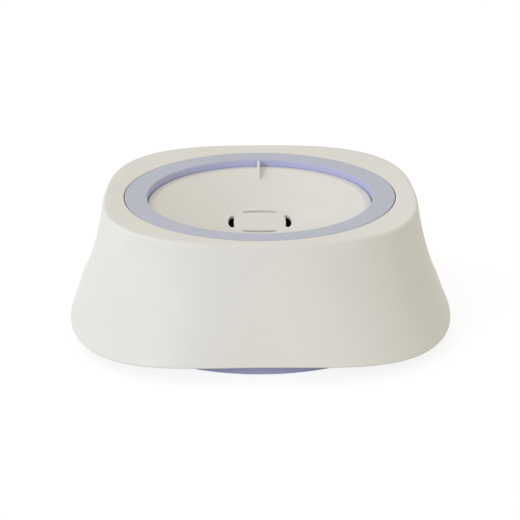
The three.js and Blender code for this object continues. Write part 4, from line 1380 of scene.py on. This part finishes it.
def above(tree, height, room):
    """0 below a height and 1 from there up, with a soft step between."""
    upright = add_node(tree, "ShaderNodeSeparateXYZ", "Z", {"Vector": place_on_piece(tree)})
    inputs = {"Value": upright, "From Min": height - room, "From Max": height}
    return add_node(tree, "ShaderNodeMapRange", "Result", inputs, interpolation_type="SMOOTHSTEP")


def bump(tree, height, strength, depth):
    inputs = {"Height": height, "Strength": strength, "Distance": depth}
    return add_node(tree, "ShaderNodeBump", "Normal", inputs)


def turning_lines(tree, scale, distortion):
    """Lines round Z, as a lathe or a radial brush leaves them."""
    inputs = {"Scale": scale, "Distortion": distortion, "Detail": 3.0, "Vector": place_on_piece(tree)}
    return add_node(tree, "ShaderNodeTexWave", "Fac", inputs, wave_type="RINGS", rings_direction="Z")


def moulded_plastic(name, colour, roughness, grain, clouding=0.02, painted_sheen_colour=None, level=0.0):
    """Plastic from a spark-eroded mould: a fine even grain, and flow clouds that barely show.

    Above a level it can take a painted sheen: a second colour that stands in for the bright room reflected on
    top faces.
    """
    material, tree = new_material(name)
    clouds = spread(tree, noise(tree, CLOUD_SCALE), 0, 1)
    tint = blend(tree, clouds, scaled(colour, 1 - clouding), scaled(colour, 1 + clouding))
    # painted sheen: above the level the colour turns to the painted sheen colour
    if painted_sheen_colour:
        tint = blend(tree, above(tree, level, LEVEL_BLEND), tint, painted_sheen_colour)
    low, high = roughness - PLASTIC_SHEEN_ROOM, roughness + PLASTIC_SHEEN_ROOM
    sheen = spread(tree, noise(tree, PLASTIC_SHEEN_SCALE), low, high)
    size, depth = grain
    return shade(material, tint, sheen, bump(tree, noise(tree, 1 / size, 3.0), 0.6, depth))


def metal(name, colour, roughness, line_scale=None):
    """Bare metal, with turned lines or a fine grain."""
    material, tree = new_material(name)
    if line_scale:
        grain = marks = turning_lines(tree, line_scale, 1.2)
    else:
        grain, marks = noise(tree, 3200.0), noise(tree, 420.0)
    dull, bright = (scaled(colour, share) for share in METAL_TINTS)
    tint = blend(tree, spread(tree, marks, 0, 1), dull, bright)
    sheen = spread(tree, marks, roughness - METAL_SHEEN_ROOM, roughness + METAL_SHEEN_ROOM)
    return shade(material, tint, sheen, bump(tree, grain, 0.5, 0.000004), Metallic=1.0)


def heater_film_material():
    """Amber film over a printed track that runs round and round."""
    material, tree = new_material("heater film")
    inputs = {"Value": turning_lines(tree, TRACK_SCALE, 0.0), "From Min": 0.52, "From Max": 0.6}
    track = add_node(tree, "ShaderNodeMapRange", "Result", inputs)
    tint = blend(tree, track, FILM_AMBER, FILM_TRACK)
    sheen = spread(tree, noise(tree, 200.0), 0.22, 0.32)
    return shade(material, tint, sheen, bump(tree, track, 0.4, 0.00003), **{"Coat Weight": 0.4})


def felt_material():
    """Pressed fibres in two greys."""
    material, tree = new_material("insulation felt")
    tint = blend(tree, spread(tree, noise(tree, 900.0, 6.0), 0, 1), FELT_DARK, FELT_LIGHT)
    fibres = bump(tree, noise(tree, 1500.0, 6.0), 0.9, 0.0003)
    return shade(material, tint, 0.95, fibres, **{"Sheen Weight": 0.25})


def board_material():
    """Green solder mask that lets the copper tracks show through as lighter lines."""
    material, tree = new_material("solder mask")
    inputs = {
        "Vector": place_on_piece(tree),
        "Scale": TRACK_GRID_SCALE,
        "Color1": BOARD_GREEN,
        "Color2": scaled(BOARD_GREEN, 1.15),
        "Mortar": BOARD_TRACK,
        "Mortar Size": 0.03,
        "Mortar Smooth": 0.1,
        "Bias": -0.4,
    }
    tint = add_node(tree, "ShaderNodeTexBrick", "Color", inputs)
    tracks = tint.node.outputs["Fac"]
    sheen = spread(tree, noise(tree, 300.0), 0.28, 0.38)
    return shade(material, tint, sheen, bump(tree, tracks, 0.3, 0.00003))


def capacitor_material():
    """A dark shrunk sleeve up to the can's bare top."""
    material, tree = new_material("capacitor")
    top = above(tree, highest("smoothing_capacitor") - CAN_TOP_DEPTH, CAN_TOP_DEPTH / 4)
    tint = blend(tree, top, CAN_SLEEVE, CAN_METAL)
    sheen = spread(tree, noise(tree, 500.0), 0.3, 0.4)
    return shade(material, tint, sheen, bump(tree, noise(tree, 2500.0), 0.4, 0.00001), Metallic=top)


def sleeve_material():
    """A woven sleeve round a pair of wires."""
    material, tree = new_material("lead sleeve")
    inputs = {"Scale": WEAVE_SCALE, "Vector": place_on_piece(tree)}
    strands = add_node(tree, "ShaderNodeTexVoronoi", "Distance", inputs, distance="MANHATTAN")
    tint = blend(tree, strands, *(scaled(SLEEVE_GREY, share) for share in SLEEVE_TINTS))
    return shade(material, tint, 0.7, bump(tree, strands, 0.7, 0.0001))


cream_shell = moulded_plastic("cream shell", CREAM, 0.5, COARSE_GRAIN)
cream_float = moulded_plastic("cream float", CREAM, 0.42, SATIN_GRAIN)
# the rim's top face, above the rim's fall, takes the painted sheen colour
bowl_lavender = moulded_plastic(
    "lavender bowl", LAVENDER, 0.42, SATIN_GRAIN, painted_sheen_colour=RIM_LAVENDER_PAINTED_SHEEN, level=RIM_TOP - RIM_FALL
)
# painted shade: the pan's lavender is darkened for the shade under the shell's lip
pan_lavender_painted_shade = moulded_plastic("lavender pan with painted shade", PAN_LAVENDER_PAINTED_SHADE, 0.45, SATIN_GRAIN)
# also used on the float chamber, where its black is painted shade
black = moulded_plastic("black plastic, also painted shade in the float", BLACK, 0.5, SATIN_GRAIN)
housing_plastic = moulded_plastic("housing plastic", HOUSING, 0.52, COARSE_GRAIN)
terminal_plastic = moulded_plastic("terminal plastic", TERMINAL_CREAM, 0.45, FINE_GRAIN)
silicone = moulded_plastic("silicone", SILICONE, 0.5, FINE_GRAIN, clouding=0.05)
rubber = moulded_plastic("rubber", RUBBER, 0.82, RUBBER_GRAIN, clouding=0.12)
aluminium = metal("aluminium plate", ALUMINIUM, 0.34, line_scale=PLATE_LINE_SCALE)
steel = metal("zinc plated steel", STEEL, 0.36)
tin = metal("tinned copper", TIN, 0.3)
brass = metal("brass", BRASS, 0.32)


# Camera, light and floor


def place_camera():
    """Puts the camera where the rim's middle falls on its pixel of the photograph."""
    forward = Vector((0, math.cos(CAMERA_ELEVATION), -math.sin(CAMERA_ELEVATION)))
    up = Vector((0, math.sin(CAMERA_ELEVATION), math.cos(CAMERA_ELEVATION)))
    right = Vector((1, 0, 0))
    metres_per_pixel = CAMERA_DISTANCE / FOCAL_PIXELS
    across = (RIM_MIDDLE_PIXEL[0] - FRAME_PIXELS / 2) * metres_per_pixel
    above = (FRAME_PIXELS / 2 - RIM_MIDDLE_PIXEL[1]) * metres_per_pixel
    place = Vector((0, 0, RIM_TOP)) - right * across - up * above - forward * CAMERA_DISTANCE
    facing = Matrix((right, up, -forward)).transposed().to_4x4()
    camera = bpy.data.objects.new("camera", bpy.data.cameras.new("camera"))
    camera.data.sensor_width = SENSOR_WIDTH
    camera.data.lens = FOCAL_PIXELS / FRAME_PIXELS * SENSOR_WIDTH
    camera.data.clip_start = 0.01
    camera.matrix_world = (
        Matrix.Rotation(CAMERA_TURN, 4, "Z")
        @ Matrix.Translation(place)
        @ facing
        @ Matrix.Rotation(CAMERA_ROLL, 4, "Z")
    )
    bpy.context.scene.collection.objects.link(camera)
    bpy.context.scene.camera = camera


def add_softbox(name, place, size, power, colour):
    lamp = bpy.data.lights.new(name, "AREA")
    lamp.shape = "DISK"
    lamp.size = size
    lamp.energy = power
    lamp.color = colour
    softbox = bpy.data.objects.new(name, lamp)
    direction = Vector(LIT_POINT) - Vector(place)
    softbox.matrix_world = Matrix.Translation(place) @ direction.to_track_quat("-Z", "Y").to_matrix().to_4x4()
    bpy.context.scene.collection.objects.link(softbox)


def seen_directly(tree):
    """1 for rays from the camera, and for those that gloss or glass sends on."""
    path = tree.nodes.new("ShaderNodeLightPath").outputs
    rays = path["Is Camera Ray"]
    for kind in ("Is Glossy Ray", "Is Transmission Ray"):
        rays = add_node(tree, "ShaderNodeMath", "Value", {0: rays, 1: path[kind]}, operation="MAXIMUM")
    return rays


def show(tree, output, lit, seen):
    """Lights the object with one shader and shows the camera another."""
    inputs = {"Fac": seen_directly(tree), 1: lit, 2: seen}
    shader = add_node(tree, "ShaderNodeMixShader", "Shader", inputs)
    set_inputs(tree, tree.nodes[output], {"Surface": shader})


def light_the_room():
    world = bpy.data.worlds.new("studio")
    world.use_nodes = True
    bpy.context.scene.world = world
    tree = world.node_tree
    lit = tree.nodes["Background"]
    set_inputs(tree, lit, {"Color": ROOM_COLOUR, "Strength": ROOM_STRENGTH})
    seen = add_node(tree, "ShaderNodeBackground", "Background", {"Color": WHITE})
    show(tree, "World Output", lit.outputs["Background"], seen)
    for lamp in LAMPS:
        add_softbox(*lamp)


def lay_floor():
    """A white floor that keeps a faint shadow."""
    bm = bmesh.new()
    bmesh.ops.create_grid(bm, x_segments=1, y_segments=1, size=FLOOR_HALF_WIDTH)
    floor = piece_from("floor", bm)
    material, tree = new_material("white floor")
    tree.nodes.remove(tree.nodes["Principled BSDF"])
    lit = add_node(tree, "ShaderNodeBsdfDiffuse", "BSDF", {"Color": FLOOR_LIT})
    shadowed = add_node(tree, "ShaderNodeBsdfDiffuse", "BSDF", {"Color": FLOOR_SHADOWED})
    glow = add_node(tree, "ShaderNodeEmission", "Emission", {"Strength": FLOOR_GLOW})
    seen = add_node(tree, "ShaderNodeAddShader", "Shader", {0: shadowed, 1: glow})
    show(tree, "Material Output", lit, seen)
    floor.data.materials.append(material)


# The finished pieces


def finish_with(piece, material, slot, *nodes, body="housing"):
    """Gives a piece its material and body, and hides the CAD nodes that it stands for. Its record slot is not
    used.
    """
    piece.data.materials.clear()
    piece.data.materials.append(material)
    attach(piece, body)
    if nodes:
        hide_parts(*nodes)


def numbered(name, count=CORNER_COUNT):
    return [f"{name}_{i + 1}" for i in range(count)]


def finish_on_circle(name, item, material, slot, node, radius, height):
    """Four of an item over the skirt's corners, in the place of the four nodes of that name."""
    middle = (0, 0, height)
    piece = repeated(name, circle_pattern, item, material, middle, Count=CORNER_COUNT, Radius=radius)
    finish_with(piece, material, slot, *numbered(node))


place_camera()
light_the_room()
lay_floor()

finish_with(make_outer_shell(), cream_shell, "cream_shell", "outer_shell")
finish_with(make_water_bowl(), bowl_lavender, "lavender_plastic", "water_bowl", body="bowl")
finish_with(make_float_plate(), cream_float, "cream_float", "float_plate", body="float")
# painted shade: the chamber's black makes the openings in the dish dark
finish_with(make_float_chamber(), black, "black_plastic", "float_chamber", body="float")
# the base pan takes the darkened lavender, painted shade for the shade under the lip
finish_with(make_base_pan(), pan_lavender_painted_shade, "lavender_plastic", "base_pan")
finish_with(make_inner_housing(), housing_plastic, "housing_plastic", "inner_housing")
finish_on_circle("feet", make_foot(), rubber, "foot_rubber", "rubber_foot", BOSS_CIRCLE, 0.0)

shell_sizes = (SHELL_SCREW_RADIUS, SHELL_SCREW_HEAD_RADIUS, SHELL_SCREW_HEAD_HEIGHT)
retainer_sizes = (RETAINER_SCREW_RADIUS, RETAINER_SCREW_HEAD_RADIUS, RETAINER_SCREW_HEAD_HEIGHT)
board_sizes = (BOARD_SCREW_RADIUS, BOARD_SCREW_HEAD_RADIUS, BOARD_SCREW_HEAD_HEIGHT)
shell_screw = make_screw("shell_screw", *shell_sizes, thread=SHELL_SCREW_THREAD)
retainer_screw = make_screw("retainer_screw", *retainer_sizes, thread_share=RETAINER_THREAD_SHARE)
for name, screw, circle in (
    ("shell_screw", shell_screw, BOSS_CIRCLE),
    ("retainer_screw", retainer_screw, RETAINER_SCREW_CIRCLE),
):
    finish_on_circle(name + "s", screw, steel, "screw_steel", name, circle, lowest(name + "_1"))

board_screw = make_screw("board_screw", *board_sizes, thread_share=BOARD_THREAD_SHARE)
board_screw.data.transform(Matrix.Rotation(math.pi, 4, "X"))
first_place, *_, last_place = board_places()
across = last_place - first_place
board_middle = (first_place + last_place) / 2
board_middle.z = highest("board_screw_1")
grid = {"Columns": 2, "Rows": 2, "Width": across.x, "Depth": across.y}
board_screws = repeated("board_screws", grid_pattern, board_screw, steel, board_middle, **grid)
finish_with(board_screws, steel, "screw_steel", *numbered("board_screw"))

heat_plate = disc_for("heat_plate", PLATE_EDGE_ROUND)
heating_film = disc_for("heating_film", FILM_EDGE_ROUND)
plate_ring = ring_for("plate_seal", highest("heat_plate", X) + SEAT_GAP)
deck_ring = ring_for("deck_seal", highest("deck_seal", X) - PAN_WALL + SEAL_ROUND)
finish_with(heat_plate, aluminium, "heat_plate_metal", "heat_plate")
finish_with(plate_ring, silicone, "silicone", "plate_seal")
finish_with(deck_ring, silicone, "silicone", "deck_seal")
finish_with(heating_film, heater_film_material(), "heater_film", "heating_film")
finish_with(make_insulation_pad(), felt_material(), "insulation_foam", "insulation_pad")
finish_with(make_retainer(), housing_plastic, "housing_plastic", "heater_retainer")
finish_with(make_thermistor(), black, "black_plastic", "thermistor")
finish_with(make_fuse(), steel, "screw_steel", "thermal_fuse")

sleeve = sleeve_material()
for name, node, place, terminal in (
    ("heater_cable", "heater_lead", HEATER_LEAD_PLACE, "heater_terminal"),
    ("sensor_cable", "sensor_lead", SENSOR_PLACE, "sensor_terminal"),
):
    finish_with(falling_lead(name, place, highest(node), terminal), sleeve, "lead_sleeve", node)
finish_with(socket_lead(), sleeve, "lead_sleeve", "socket_lead")

finish_with(make_board(), board_material(), "board_laminate", "control_board")
finish_with(make_pads(), tin, "heat_plate_metal")
chip, chip_legs = make_chip()
finish_with(chip, black, "black_plastic", "control_chip")
finish_with(chip_legs, tin, "heat_plate_metal")
transistor, transistor_metal = make_transistor()
finish_with(transistor, black, "black_plastic", "power_transistor")
finish_with(transistor_metal, tin, "heat_plate_metal")
terminals, clamp_screws = make_terminals()
finish_with(terminals, terminal_plastic, "terminal_plastic", *TERMINAL_NODES)
finish_with(clamp_screws, brass, "screw_steel")
finish_with(make_capacitor(), capacitor_material(), "capacitor_can", "smoothing_capacitor")

socket, pin = make_socket()
finish_with(socket, black, "black_plastic", "power_socket")
finish_with(pin, brass, "screw_steel")
finish_with(make_socket_seal(), silicone, "silicone", "socket_seal")

bpy.context.scene.view_settings.view_transform = "Standard"
